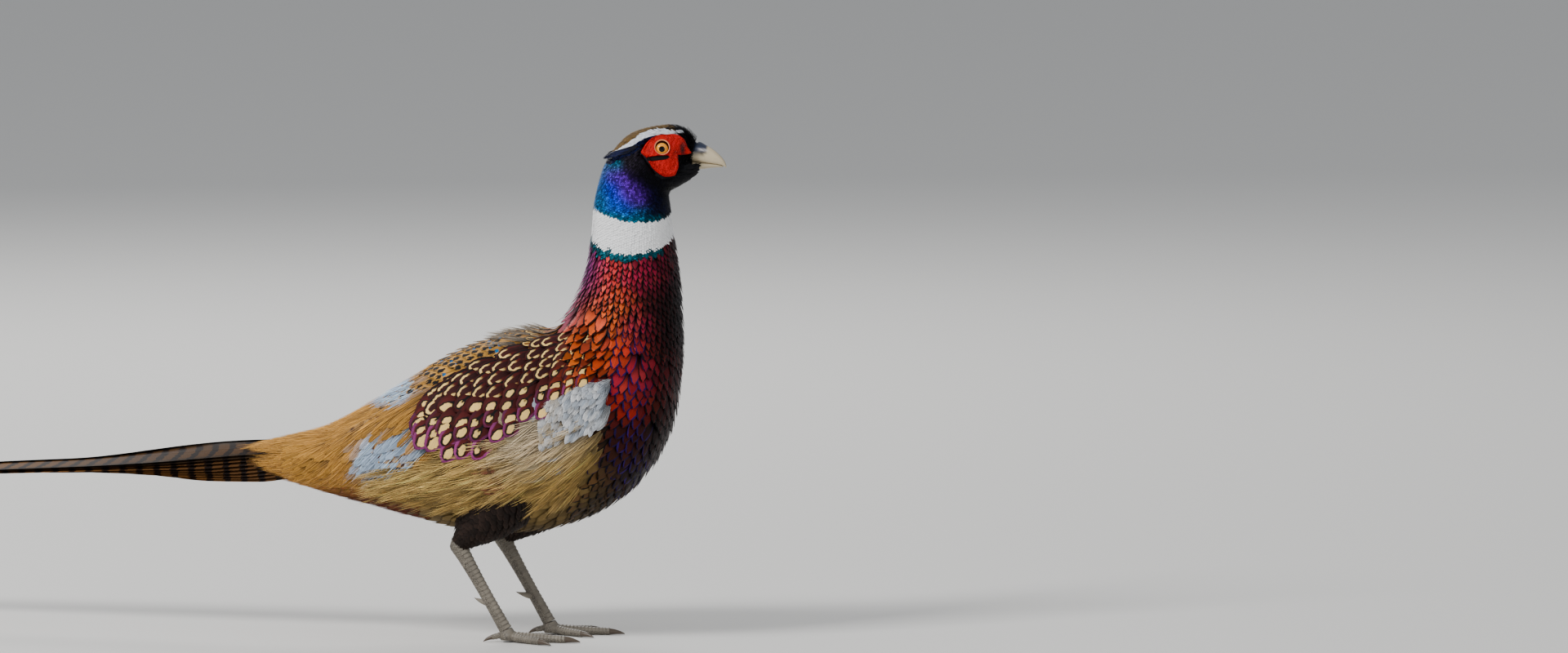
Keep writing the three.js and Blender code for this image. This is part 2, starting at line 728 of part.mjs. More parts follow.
function claw(side, toe) {
  const tip = toePlace(side, toe, 1);
  const ahead = tip.clone().sub(toePlace(side, toe, 0.95)).normalize();
  const length = toe.name === "hind" ? CLAW_LENGTH * 0.6 : CLAW_LENGTH;
  const thick = toe.thick * 0.62;
  const places = [0, 0.3, 0.6, 0.85, 1].map((s) =>
    tip
      .clone()
      .addScaledVector(ahead, TOUCH_GAP + length * s)
      .add(new THREE.Vector3(0, 0, -1.6 * s * s)),
  );
  const radii = [1, 0.86, 0.62, 0.34, 0.12].map((r) => r * thick);
  return limb(places, radii, 7).trimByPlane([0, 0, 1], 0.4);
}

// Finish of each kind of surface

const finish = (color, roughness, metalness = 0) =>
  new THREE.MeshStandardMaterial({ color, roughness, metalness });
const FINISH = {
  torso: finish("#a8621f", 0.6),
  neck: finish("#8c2424", 0.45, 0.2),
  head: finish("#16244a", 0.35, 0.3),
  wing: finish("#6b3032", 0.6),
  tail: finish("#8a6a3c", 0.65),
  thigh: finish("#3c2a1e", 0.8),
  wattle: finish("#c00a06", 0.5),
  bill: finish("#c8b79a", 0.4),
  eye: finish("#c07a20", 0.08),
  leg: finish("#8d8577", 0.6),
  claw: finish("#5a4e40", 0.45),
};

const bird = new THREE.Group();

// The neck twists above the shoulders, so that the head looks a little to the bird's left.
const HEAD_TURN = 8 * DEGREE;
const TWIST = { from: 262, to: 335, axis: 96 };

function twist(positions) {
  for (let i = 0; i < positions.length; i += 3) {
    const [x, y, z] = positions.slice(i, i + 3);
    const turn = HEAD_TURN * THREE.MathUtils.smoothstep(z, TWIST.from, TWIST.to);
    positions[i] = TWIST.axis + (x - TWIST.axis) * Math.cos(turn) - y * Math.sin(turn);
    positions[i + 1] = (x - TWIST.axis) * Math.sin(turn) + y * Math.cos(turn);
  }
}

function addNode(name, solid, material) {
  const { vertProperties, triVerts } = solid.getMesh();
  twist(vertProperties);
  const geometry = new THREE.BufferGeometry()
    .setAttribute("position", new THREE.BufferAttribute(vertProperties, 3))
    .setIndex(new THREE.BufferAttribute(triVerts, 1));
  geometry.computeVertexNormals();
  const mesh = new THREE.Mesh(geometry, material);
  mesh.name = name;
  bird.add(mesh);
}

// Solids that have a twin are made on the left and mirrored.
function addPair(name, solid, material) {
  addNode(name + "_left", solid, material);
  addNode(name + "_right", mirrored(solid), material);
}

const torso = plumage(0, NECK_AT, 15);
const torsoRoom = plumage(0, NECK_AT, 15, 0, TOUCH_GAP);
const headRoom = plumage(HEAD_AT, BILL_AT, 14, 0, TOUCH_GAP);
const eyeballs = [LEFT, RIGHT].map((side) => {
  const centre = eyeCentre();
  centre.y *= side;
  return { side, centre };
});
const sockets = join(eyeballs.map(({ centre }) => ball(EYE.radius + TOUCH_GAP, centre, [1, 1, 1], 12)));
const tufts = earTuft();
const head = [...tufts, ...tufts.map(mirrored)]
  .reduce((whole, lock) => whole.add(lock), plumage(HEAD_AT, BILL_AT, 14, TOUCH_GAP))
  .subtract(sockets)
  .subtract(join([upperBill(TOUCH_GAP), lowerBill(TOUCH_GAP), ...nostrilFlaps(TOUCH_GAP)]));

addNode("torso", torso, FINISH.torso);
addNode("neck", plumage(NECK_AT, HEAD_AT, 9, TOUCH_GAP), FINISH.neck);
addNode("head", largest(head), FINISH.head);
addNode("bill_upper", billWithNostrils(), FINISH.bill);
addNode("bill_lower", largest(lowerBill().subtract(upperBill(TOUCH_GAP))), FINISH.bill);
addPair("eye", ball(EYE.radius, eyeballs[0].centre, [1, 1, 1], 12), FINISH.eye);
addPair("wattle", largest(wattle().subtract(headRoom).subtract(sockets)), FINISH.wattle);
addPair("wing", largest(join([wingCore(), ...wingVanes()]).subtract(torsoRoom)), FINISH.wing);
addNode("tail", tail(), FINISH.tail);
for (const [side, word] of [[LEFT, "left"], [RIGHT, "right"]]) {
  const overThigh = side === LEFT ? wingRoom() : mirrored(wingRoom());
  addNode("thigh_" + word, thigh(side, torsoRoom.add(overThigh)), FINISH.thigh);
  addNode("shank_" + word, shank(side), FINISH.leg);
  addNode("foot_" + word, foot(side), FINISH.leg);
  for (const toe of TOES) addNode(`claw_${toe.name}_${word}`, claw(side, toe), FINISH.claw);
}

// The part's origin is the middle of its bounding box, at floor level.
const box = new THREE.Box3().setFromObject(bird);
const centre = box.getCenter(new THREE.Vector3());
bird.position.set(-centre.x, -centre.y, -box.min.z);

export default bird;
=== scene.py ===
# A standing cock ring-necked pheasant in full plumage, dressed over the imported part.
# Shapes are worked out in the bird's own frame, in millimetres: it faces +X, its left side is +Y.
# to_frame() turns them into the part's frame, in metres.
import math

import bpy
import numpy as np
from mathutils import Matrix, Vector


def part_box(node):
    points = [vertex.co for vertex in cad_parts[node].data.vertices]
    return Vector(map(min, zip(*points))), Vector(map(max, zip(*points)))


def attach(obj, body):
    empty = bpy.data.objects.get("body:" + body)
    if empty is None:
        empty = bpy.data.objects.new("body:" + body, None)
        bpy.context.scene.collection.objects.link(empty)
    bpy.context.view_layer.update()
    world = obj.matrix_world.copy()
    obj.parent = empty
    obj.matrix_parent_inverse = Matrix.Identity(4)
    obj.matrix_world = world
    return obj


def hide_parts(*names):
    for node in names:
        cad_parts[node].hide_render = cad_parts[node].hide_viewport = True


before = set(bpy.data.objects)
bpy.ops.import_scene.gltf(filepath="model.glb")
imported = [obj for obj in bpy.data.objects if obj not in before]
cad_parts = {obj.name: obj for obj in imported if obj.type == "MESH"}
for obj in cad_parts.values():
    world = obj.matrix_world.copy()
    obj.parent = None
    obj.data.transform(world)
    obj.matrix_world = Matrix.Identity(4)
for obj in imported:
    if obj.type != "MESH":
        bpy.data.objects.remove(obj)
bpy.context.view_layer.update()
random = np.random.default_rng(7)

MM = 0.001
LEFT, RIGHT = 1.0, -1.0
SIDES = (LEFT, RIGHT)
WORDS = {LEFT: "left", RIGHT: "right"}
DEGREE = math.pi / 180
SLOPE_STEP = 0.01

# The plumage

# Flat sections across the body from the tail coverts to the bill: top and bottom point in side
# view, and half width.
STATIONS = [
    ((-163, 147), (-163, 116), 20),
    ((-132, 155), (-130, 107), 33),
    ((-84, 183), (-80, 94), 50),
    ((-36, 213), (-24, 80), 59),
    ((8, 228), (38, 83), 61),
    ((33, 231), (90, 108), 57),
    ((46, 242), (121, 150), 50),
    ((54, 256), (131, 205), 42),
    ((61, 275), (130, 258), 34.5),
    ((65, 300), (125, 298), 29.5),
    ((67, 322), (122, 320), 26.5),
    ((72.5, 345), (121.5, 331), 23.5),
    ((80, 360), (129.5, 336.5), 21),
    ((94, 374), (137, 341), 19),
    ((116, 380), (139, 345.5), 16.5),
    ((131, 379), (138.5, 349.5), 13),
    ((141.5, 370), (138, 353.5), 7.6),
]
TOPS = np.array([s[0] for s in STATIONS], float)
BOTTOMS = np.array([s[1] for s in STATIONS], float)
HALVES = np.array([s[2] for s in STATIONS], float)
FULLNESS = 0.9
NECK_AT = 6.6
HEAD_AT = 10.4
BILL_AT = len(STATIONS) - 1

# The neck twists above the shoulders, so that the head looks a little to the left.
HEAD_TURN = 8 * DEGREE
TWIST_FROM, TWIST_TO, TWIST_AXIS = 262, 335, 96

# The folded wing bulges out of the flank: its outline in side view, and its height.
WING_X = np.array([-128, -80, -30, 20, 66, 92], float)
WING_UPPER = np.array([152, 174, 196, 208, 205, 190], float)
WING_LOWER = np.array([130, 116, 112, 118, 136, 158], float)
WING_BULGE = 5.0


def unit(vectors):
    """Vectors of length 1 in the same directions."""
    return vectors / np.maximum(np.linalg.norm(vectors, axis=-1, keepdims=True), 1e-9)


def smooth(value, low, high):
    """0 below low, 1 above high, and a smooth rise between."""
    share = np.clip((value - low) / (high - low), 0, 1)
    return share * share * (3 - 2 * share)


def mound(x, z, x_at, z_at, wide, tall):
    """1 at (x_at, z_at), and falling off round it over wide and tall."""
    return np.exp(-(((x - x_at) / wide) ** 2 + ((z - z_at) / tall) ** 2))


def through(values, t):
    """Smooth curve through a list of values at places counted in list steps, straight past its ends."""
    last = len(values) - 1
    i = np.clip(np.floor(t).astype(int), 0, last - 1)
    a, b, c, d = (values[np.clip(i + k, 0, last)] for k in (-1, 0, 1, 2))
    f = t - i
    if values.ndim > 1:
        f, i = f[..., None], i[..., None]
    slope_in = np.where(i == 0, c - b, (c - a) / 2)
    slope_out = np.where(i == last - 1, c - b, (d - b) / 2)
    g = np.clip(f, 0, 1)
    cubic = (
        b * (2 * g**3 - 3 * g**2 + 1)
        + slope_in * (g**3 - 2 * g**2 + g)
        + c * (3 * g**2 - 2 * g**3)
        + slope_out * (g**3 - g**2)
    )
    return cubic + np.where(f < 0, slope_in, slope_out) * (f - g)


def section(t):
    """Middle and half height of the flat section at t, as (x, z), and its half width."""
    top, bottom = through(TOPS, t), through(BOTTOMS, t)
    return (top + bottom) / 2, (top - bottom) / 2, through(HALVES, t)


def body(t, turn):
    """Points of the plumage's outline. turn is 0 along the back, 90 degrees on the left, 180 below."""
    t, turn = np.broadcast_arrays(np.asarray(t, float), np.asarray(turn, float))
    middle, arm, half = section(t)
    side, up = np.sin(turn), np.cos(turn)
    y = half * np.sign(side) * np.abs(side) ** FULLNESS
    return np.stack([middle[..., 0] + arm[..., 0] * up, y, middle[..., 1] + arm[..., 1] * up], -1)


def slopes(t, turn):
    """How far the outline runs for one list step along the body, and for one radian round it."""
    along = (body(t + SLOPE_STEP, turn) - body(t - SLOPE_STEP, turn)) / (2 * SLOPE_STEP)
    around = (body(t, turn + SLOPE_STEP) - body(t, turn - SLOPE_STEP)) / (2 * SLOPE_STEP)
    return along, around


def wing_cover(x, z):
    """1 in the middle of the folded wing in side view, 0 outside it."""
    upper = np.interp(x, WING_X, WING_UPPER)
    lower = np.interp(x, WING_X, WING_LOWER)
    share = np.clip((z - lower) / (upper - lower), 0, 1)
    ends = smooth(x, WING_X[0], WING_X[0] + 60) * (1 - smooth(x, WING_X[-1] - 22, WING_X[-1]))
    return np.sin(np.pi * share) ** 0.7 * ends


def plumage(t, turn, lift):
    """Points lift above the outline, wing included, and the outward directions there."""
    points = body(t, turn)
    along, around = slopes(t, turn)
    outward = unit(np.cross(along, around))
    height = lift + WING_BULGE * wing_cover(points[..., 0], points[..., 2])
    return points + outward * np.asarray(height)[..., None], outward


def on_flank(x, z, lift, side, low=0.0, high=NECK_AT + 1.0):
    """Points that show at (x, z) in side view, and the outward directions there."""
    low, high = np.full(np.shape(x), low), np.full(np.shape(x), high)
    for _ in range(26):
        t = (low + high) / 2
        middle, arm, _half = section(t)
        ahead = arm[..., 1] * (x - middle[..., 0]) - arm[..., 0] * (z - middle[..., 1]) > 0
        low, high = np.where(ahead, t, low), np.where(ahead, high, t)
    middle, arm, _half = section(t)
    share = (x - middle[..., 0]) * arm[..., 0] + (z - middle[..., 1]) * arm[..., 1]
    turn = np.arccos(np.clip(share / (arm**2).sum(-1), -0.97, 0.97))
    points, outward = plumage(t, turn, lift)
    shown = body(t, turn)
    points[..., 0] += x - shown[..., 0]
    points[..., 2] += z - shown[..., 2]
    mirror = np.array([1, side, 1])
    return points * mirror, outward * mirror, t, np.where(side > 0, turn, 2 * np.pi - turn)


torso_low, torso_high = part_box("torso")
SHIFT = np.array([torso_low[0] / MM - TOPS[0][0], (torso_low[1] + torso_high[1]) / 2 / MM, 0])


def twisted(points):
    """Points with the neck's twist, more of it the higher they lie."""
    turn = HEAD_TURN * smooth(points[..., 2], TWIST_FROM, TWIST_TO)
    ahead, left = points[..., 0] - TWIST_AXIS, points[..., 1]
    x = TWIST_AXIS + ahead * np.cos(turn) - left * np.sin(turn)
    y = ahead * np.sin(turn) + left * np.cos(turn)
    return np.stack([x, y, points[..., 2]], -1)


def to_frame(points):
    """Points of the bird's own frame, in millimetres, in the part's frame, in metres."""
    return (twisted(np.asarray(points, float)) + SHIFT) * MM


# Meshes


def rgb(red, green, blue):
    """A colour from its usual 0 to 255 values, made linear."""
    value = np.array([red, green, blue]) / 255
    return np.where(value <= 0.04045, value / 12.92, ((value + 0.055) / 1.055) ** 2.4)


def make(name, points, faces, material, uvs=None, colours=None, numbers=None):
    """A mesh piece from points in the bird's frame and rows of equal faces."""
    mesh = bpy.data.meshes.new(name)
    count, sides = faces.shape
    mesh.vertices.add(len(points))
    mesh.vertices.foreach_set("co", to_frame(points).ravel())
    mesh.loops.add(count * sides)
    mesh.loops.foreach_set("vertex_index", faces.ravel().astype(np.int32))
    mesh.polygons.add(count)
    mesh.polygons.foreach_set("loop_start", np.arange(0, count * sides, sides, dtype=np.int32))
    mesh.polygons.foreach_set("use_smooth", np.ones(count, bool))
    for layer, values in (uvs or {}).items():
        made = mesh.uv_layers.new(name=layer)
        made.data.foreach_set("uv", values[faces.ravel()].astype(np.float32).ravel())
    for layer, values in (colours or {}).items():
        made = mesh.attributes.new(layer, "FLOAT_COLOR", "POINT")
        filled = np.ones((len(points), 4), np.float32)
        filled[:, :3] = values
        made.data.foreach_set("color", filled.ravel())
    for layer, values in (numbers or {}).items():
        made = mesh.attributes.new(layer, "FLOAT", "POINT")
        made.data.foreach_set("value", np.asarray(values, np.float32))
    mesh.update(calc_edges=True)
    mesh.validate()
    piece = bpy.data.objects.new(name, mesh)
    bpy.context.scene.collection.objects.link(piece)
    mesh.materials.append(material)
    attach(piece, "root")
    return piece


def tube_faces(rings, sides):
    """Rows of four corners round a tube whose points are counted ring by ring."""
    i, j = np.meshgrid(np.arange(rings - 1), np.arange(sides), indexing="ij")
    a, b = i * sides + j, i * sides + (j + 1) % sides
    return np.stack([a, b, b + sides, a + sides], -1).reshape(-1, 4)


END_SIZE = 0.02  # the small faces that close a tube, as a share of its end rings


def closed_tube(rings):
    """Points and outward faces of rings (n, m, 3) joined in order, both ends closed. m is even."""
    count, sides = rings.shape[:2]
    ends = [rings[:1].mean(1, keepdims=True), rings[-1:].mean(1, keepdims=True)]
    tight = [e + (r - e) * END_SIZE for e, r in zip(ends, (rings[:1], rings[-1:]))]
    points = np.concatenate([tight[0], rings, tight[1]]).reshape(-1, 3)
    k = np.arange(sides // 2 - 1)
    cap = np.stack([k, k + 1, sides - 2 - k, sides - 1 - k], -1)
    faces = np.concatenate([tube_faces(count + 2, sides), cap[:, ::-1], cap + (count + 1) * sides])
    a, b, c, d = (points[faces[:, corner]] for corner in range(4))
    volume = (a * (np.cross(b, c) + np.cross(c, d))).sum()
    return points, faces if volume > 0 else faces[:, ::-1]


# Feathers

# Shares of a feather's length at which its outline is worked out.
SMALL_STATIONS = np.array([0, 0.35, 0.65, 0.85, 1.0])
BODY_STATIONS = np.array([0, 0.3, 0.55, 0.75, 0.9, 1.0])
FLIGHT_STATIONS = np.linspace(0, 1, 12)
BAKE_PATCH = 0.003  # width of each feather's patch in the baking layer
PIECE_TRIANGLES = 190000  # most triangles in one piece of hairs


def outline(s, point):
    """Share of the full half width along a vane that narrows over its last stretch, point long."""
    swell = 0.5 + 0.5 * smooth(s, 0, 0.35)
    past = np.clip((s - (1 - point)) / point, 0, 1)
    return swell * np.sqrt(np.maximum(1 - past**2.2, 0.012))


def bake_uv(t, turn, u, v):
    """Each feather is a small patch at its root's place on the unwrapped body."""
    place = np.stack([0.02 + 0.94 * np.clip(t, -1, BILL_AT) / BILL_AT, turn / (2 * np.pi) * 0.96 + 0.01], -1)
    return place + BAKE_PATCH * (np.stack([u, v], -1) - 0.5)


def walk(t, turn, length, heading, stations, root_lift, tip_lift):
    """Lines that run tailwards over the body. heading turns them downwards, in radians.

    Lines are centre lines and outward directions (n, m, 3), and the places t and turn of their roots.
    """
    roots = (t, turn)
    down = np.where(turn < np.pi, 1.0, -1.0)
    centres, outwards = [], []
    before = 0.0
    for s in stations:
        along, around = slopes(t, turn)
        step = length * (s - before)
        before = s
        t = t - step * np.cos(heading) / np.linalg.norm(along, axis=-1)
        turn = turn + down * step * np.sin(heading) / np.maximum(np.linalg.norm(around, axis=-1), 8)
        centre, outward = plumage(t, turn, root_lift + (tip_lift - root_lift) * s)
        centres.append(centre)
        outwards.append(outward)
    return np.stack(centres, 1), np.stack(outwards, 1), *roots


def between(roots, tips, s):
    """Places in side view at shares s of the way from each root to its tip."""
    x = roots[:, :1] + (tips[:, :1] - roots[:, :1]) * s
    z = roots[:, 1:] + (tips[:, 1:] - roots[:, 1:]) * s
    return x, z


def chords(roots, tips, side, stations, root_lift, tip_lift, bow=0.0):
    """Lines over the flank between points given in side view."""
    s = stations[None, :]
    x, z = between(roots, tips, s)
    rise = np.broadcast_to(np.asarray(root_lift)[..., None], x.shape)
    top = np.broadcast_to(np.asarray(tip_lift)[..., None], x.shape)
    lift = rise + (top - rise) * np.minimum(s * 1.6, 1)
    centres, outwards, t, turn = on_flank(x, z - bow * np.sin(np.pi * s), lift, side)
    return centres, outwards, t[:, 0], turn[:, 0]


def alike(name, points, faces, across, along, t, turn, material, colours, numbers):
    """One piece of n closed bodies that share their faces. points is (n, steps, sides, 3)."""
    count, steps, sides = points.shape[:3]
    corners = steps * sides
    u = np.broadcast_to(np.array(across), (count, steps, sides))
    v = np.broadcast_to(along[:, None], (count, steps, sides))
    uvs = {
        "vane": np.stack([u, v], -1).reshape(-1, 2),
        "OFBake": bake_uv(t[:, None, None], turn[:, None, None], u, v).reshape(-1, 2),
    }
    colours = {k: np.repeat(np.broadcast_to(c, (count, 3)), corners, 0) for k, c in colours.items()}
    numbers = {k: np.repeat(c, corners) for k, c in (numbers | {"chance": random.random(count)}).items()}
    faces = (faces[None] + corners * np.arange(count)[:, None, None]).reshape(-1, faces.shape[1])
    return make(name, points.reshape(-1, 3), faces, material, uvs, colours, numbers)


def feathers(name, lines, half, material, colours, shape, stations, roll=0.0, curl=0.0):
    """Closed vanes along lines. shape is the tip's share of the length, the rims' drop and the thickness."""
    centres, outwards, t, turn = lines
    point, camber, thick = shape
    count, steps = centres.shape[:2]
    half = np.broadcast_to(half, (count,))
    widths = half[:, None] * outline(stations, point)
    along = unit(np.gradient(centres, axis=1))
    across = unit(np.cross(outwards, along))
    across = unit(across + outwards * np.broadcast_to(roll, (count,))[:, None, None])
    above = unit(np.cross(along, across))
    centres = centres + above * (curl * np.broadcast_to(stations, (count, steps)) ** 3)[..., None]
    wide = widths[..., None]
    edge_drop = above * wide * camber
    thin = above * (thick * np.minimum(1, 0.3 + widths / half[:, None]))[..., None] / 2
    rims = [centres - across * wide - edge_drop, centres + across * wide - edge_drop]
    points = np.stack([rims[0], centres + thin, rims[1], centres - thin], 2)
    length = np.linalg.norm(np.diff(centres, axis=1), axis=-1).sum(1)
    last = 4 * steps - 1
    caps = [[0, 1, 2, 3], [last, last - 1, last - 2, last - 3]]
    faces = np.concatenate([tube_faces(steps, 4)[:, ::-1], caps])
    numbers = {"slender": length / half, "reach": length}
    piece = alike(name, points, faces, (0, 0.5, 1, 0.5), stations, t, turn, material, colours, numbers)
    sharpen_rims(piece.data)
    return piece


def sharpen_rims(mesh):
    """The two rims of each vane stay crisp while its faces are smooth."""
    ends = np.empty(len(mesh.edges) * 2, np.int32)
    mesh.edges.foreach_get("vertices", ends)
    ends = ends.reshape(-1, 2) % 4
    rim = (ends[:, 0] == ends[:, 1]) & (ends[:, 0] % 2 == 0)
    mesh.edges.foreach_set("use_edge_sharp", rim)


def strands(name, centres, t, turn, radius, colours):
    """Closed three-sided hairs along centre lines (n, m, 3), thinning to their tips."""
    count, steps = centres.shape[:2]
    along = unit(np.gradient(centres, axis=1))
    helper = unit(np.cross(along, np.array([0.0, 0.3, 1.0])))
    other = np.cross(along, helper)
    s = np.linspace(0, 1, steps)
    thin = radius * (1 - 0.95 * s**2)[None, :, None]
    turns = np.arange(3) * 2 * np.pi / 3
    points = np.stack([centres + (helper * np.cos(a) + other * np.sin(a)) * thin for a in turns], 2)
    walls = tube_faces(steps, 3)
    last = 3 * steps - 1
    ends = [[0, 2, 1], [last - 2, last - 1, last]]
    faces = np.concatenate([walls[:, [0, 1, 2]], walls[:, [0, 2, 3]], ends])
    limit = PIECE_TRIANGLES // len(faces)
    for part, start in enumerate(range(0, count, limit)):
        chosen = slice(start, start + limit)
        tints = {key: value[chosen] for key, value in colours.items()}
        alike(f"{name}_{part}", points[chosen], faces, (0, 0.5, 1), s, t[chosen], turn[chosen],
              hair, tints, {})


def field(t_from, t_to, columns, step, around, jitter=0.2):
    """Roots in staggered columns over the body, thinned where the columns crowd."""
    found = []
    samples = np.linspace(t_from, t_to, 160)
    for column in range(columns):
        turn = 2 * np.pi * (column + 0.5) / columns
        line = body(samples, turn)
        arc = np.concatenate([[0], np.cumsum(np.linalg.norm(np.diff(line, axis=0), axis=1))])
        count = int(arc[-1] / step)
        places = (np.arange(count) + 0.5 * (column % 2) + jitter * (random.random(count) - 0.5)) * step
        t = np.interp(places, arc, samples)
        _along, side = slopes(t, np.full(count, turn))
        gap = np.linalg.norm(side, axis=1) * 2 * np.pi / columns
        kept = random.random(count) < gap / around
        turns = turn + jitter * (random.random(count) - 0.5) * 2 * np.pi / columns
        found.append(np.stack([t, turns], 1)[kept])
    return np.concatenate(found).T


def vary(colour, count, amount=0.18):
    """The colour once for each feather, a little lighter or darker."""
    colour = np.broadcast_to(colour, (count, 3))
    return colour * (1 + amount * (random.random((count, 1)) - 0.5) * 2)


def blend_places(x, z, places):
    """Colour at (x, z), mixed from named places, each (x, z, reach, colour)."""
    far = [((x - px) ** 2 + (z - pz) ** 2) / (2 * r * r) for px, pz, r, _c in places]
    weights = np.exp(-np.stack(far, -1)) ** 1.5 + 1e-6
    colours = np.stack([c for _x, _z, _r, c in places])
    return (weights / weights.sum(-1, keepdims=True)) @ colours


def keep(chosen, *values):
    """The chosen rows of each array."""
    return [value[chosen] for value in values]


# Materials


class Shader:
    """A material whose nodes are made by short calls."""

    def __init__(self, name, roughness=0.5, specular=0.5, sheen=0.0, metallic=0.0):
        self.material = bpy.data.materials.new(name)
        self.material.use_nodes = True
        self.nodes = self.material.node_tree.nodes
        self.links = self.material.node_tree.links
        self.surface = self.nodes["Principled BSDF"]
        self.surface.inputs["Roughness"].default_value = roughness
        self.surface.inputs["Specular IOR Level"].default_value = specular
        self.surface.inputs["Sheen Weight"].default_value = sheen
        self.surface.inputs["Metallic"].default_value = metallic

    def node(self, kind, inputs=(), **settings):
        made = self.nodes.new(kind)
        for key, value in settings.items():
            setattr(made, key, value)
        for index, value in enumerate(inputs):
            self.put(made.inputs[index], value)
        return made

    def put(self, socket, value):
        if isinstance(value, bpy.types.NodeSocket):
            self.links.new(value, socket)
        elif value is not None:
            socket.default_value = value

    def math(self, operation, *inputs):
        return self.node("ShaderNodeMath", inputs, operation=operation).outputs[0]

    def times(self, first, second):
        return self.math("MULTIPLY", first, second)

    def plus(self, first, second):
        return self.math("ADD", first, second)

    def scaled(self, value, factor, offset):
        """The value times the factor, plus the offset."""
        return self.math("MULTIPLY_ADD", value, factor, offset)

    def shaken(self, value, chance, amount):
        """The value moved by up to half the amount, either way, where chance runs from 0 to 1."""
        return self.plus(value, self.scaled(chance, amount, -amount / 2))

    def step(self, value, low, high):
        """0 below low, 1 above high."""
        made = self.node("ShaderNodeMapRange", (value, low, high, 0.0, 1.0), interpolation_type="SMOOTHSTEP")
        return made.outputs[0]

    def outside(self, value, low, high):
        """1 below low, 0 above high."""
        return self.math("SUBTRACT", 1.0, self.step(value, low, high))

    def mix(self, factor, first, second):
        made = self.node("ShaderNodeMix", data_type="RGBA")
        sockets = [s for s in made.inputs if s.enabled]
        for socket, value in zip(sockets, (factor, self.colour(first), self.colour(second))):
            self.put(socket, value)
        return next(s for s in made.outputs if s.enabled)

    def dimmed(self, colour, share):
        made = self.node("ShaderNodeVectorMath", (colour,), operation="SCALE")
        self.put(made.inputs["Scale"], share)
        return made.outputs[0]

    def colour(self, value):
        return value if isinstance(value, bpy.types.NodeSocket) else (*value, 1.0)

    def attribute(self, name, output="Color"):
        return self.node("ShaderNodeAttribute", attribute_name=name).outputs[output]

    def vane_place(self):
        """Places across and along a feather or hair, from 0 to 1."""
        place = self.node("ShaderNodeUVMap", uv_map="vane").outputs[0]
        split = self.node("ShaderNodeSeparateXYZ", (place,))
        return split.outputs[0], split.outputs[1]

    def texture(self, kind, scale, **settings):
        """A texture fixed to the model."""
        place = self.node("ShaderNodeTexCoord").outputs["Object"]
        made = self.node(kind, **settings)
        self.links.new(place, made.inputs["Vector"])
        made.inputs["Scale"].default_value = scale
        return made

    def noise(self, scale, detail=2.0):
        made = self.texture("ShaderNodeTexNoise", scale)
        made.inputs["Detail"].default_value = detail
        return made.outputs["Fac"]

    def bump(self, height, strength, distance):
        made = self.node("ShaderNodeBump")
        made.inputs["Strength"].default_value = strength
        made.inputs["Distance"].default_value = distance
        self.links.new(height, made.inputs["Height"])
        self.links.new(made.outputs[0], self.surface.inputs["Normal"])

    def finish(self, colour):
        self.put(self.surface.inputs["Base Color"], self.colour(colour))
        return self.material


BARB_DEPTH = 0.3


class Vane(Shader):
    """A feather's material. across is 0 at the shaft and 1 at the rim, along is 0 at the root.

    from_tip is the distance from the tip in half widths, and rim nears 1 at the rim and the tip.
    """

    def __init__(self, name, roughness=0.7, specular=0.15, metallic=0.0):
        super().__init__(name, roughness, specular, metallic=metallic)
        across, self.along = self.vane_place()
        self.signed = self.scaled(across, 2.0, -1.0)
        self.across = self.math("ABSOLUTE", self.signed)
        numbers = (self.attribute(name, "Fac") for name in ("slender", "reach", "chance"))
        self.slender, self.reach, self.chance = numbers
        self.ground, self.edge, self.spot = (self.attribute(name) for name in ("ground", "edge", "spot"))
        self.from_tip = self.times(self.math("SUBTRACT", 1.0, self.along), self.slender)
        past = self.math("MAXIMUM", self.math("SUBTRACT", 1.0, self.from_tip), 0.0)
        cubes = [self.math("POWER", value, 3.0) for value in (self.across, past)]
        self.rim = self.math("POWER", self.plus(*cubes), 1 / 3)

    def barbed(self, colour, count=7.0, root=0.35):
        """The material: colour with fine slanted lines and a shaft, dimmed near the feather's root as painted
        shade where the feathers overlap.
        """
        slant = self.scaled(self.across, -0.8, self.times(self.along, self.slender))
        wave = self.math("SINE", self.times(slant, 2 * math.pi * count))
        broken = self.times(wave, self.noise(900.0))
        barb_lines_and_root_shade = self.scaled(broken, BARB_DEPTH, 1.0)
        # Painted shade: each feather darkens towards its root, where the feathers before it overlap, down to
        # the share root.
        barb_lines_and_root_shade = self.times(barb_lines_and_root_shade, self.scaled(self.step(self.along, 0.3, 0.8), 1 - root, root))
        shaft = self.outside(self.across, 0.0, 0.09)
        self.bump(self.plus(broken, self.times(shaft, 2.0)), 0.25, 0.0002)
        return self.finish(self.dimmed(colour, barb_lines_and_root_shade))


def fringed_feather(name, start, end, root=0.35, **finish):
    """Ground colour with a fringe of the edge colour."""
    vane = Vane(name, **finish)
    return vane.barbed(vane.mix(vane.step(vane.rim, start, end), vane.ground, vane.edge), root=root)


def scale_feather(name, narrow, **finish):
    """Scale-like feather: a bright spear between dark edges, the narrower the more narrow is."""
    vane = Vane(name, **finish)
    near_tip = vane.math("MAXIMUM", vane.scaled(vane.from_tip, -0.7, 1.0), 0.0)
    rim = vane.scaled(near_tip, 0.42, vane.times(vane.across, 0.9))
    rim = vane.shaken(rim, vane.noise(350.0), 0.16)
    dark = vane.step(rim, 0.78 - narrow, 0.88 - 0.7 * narrow)
    return vane.barbed(vane.mix(dark, vane.ground, vane.edge), root=0.12)


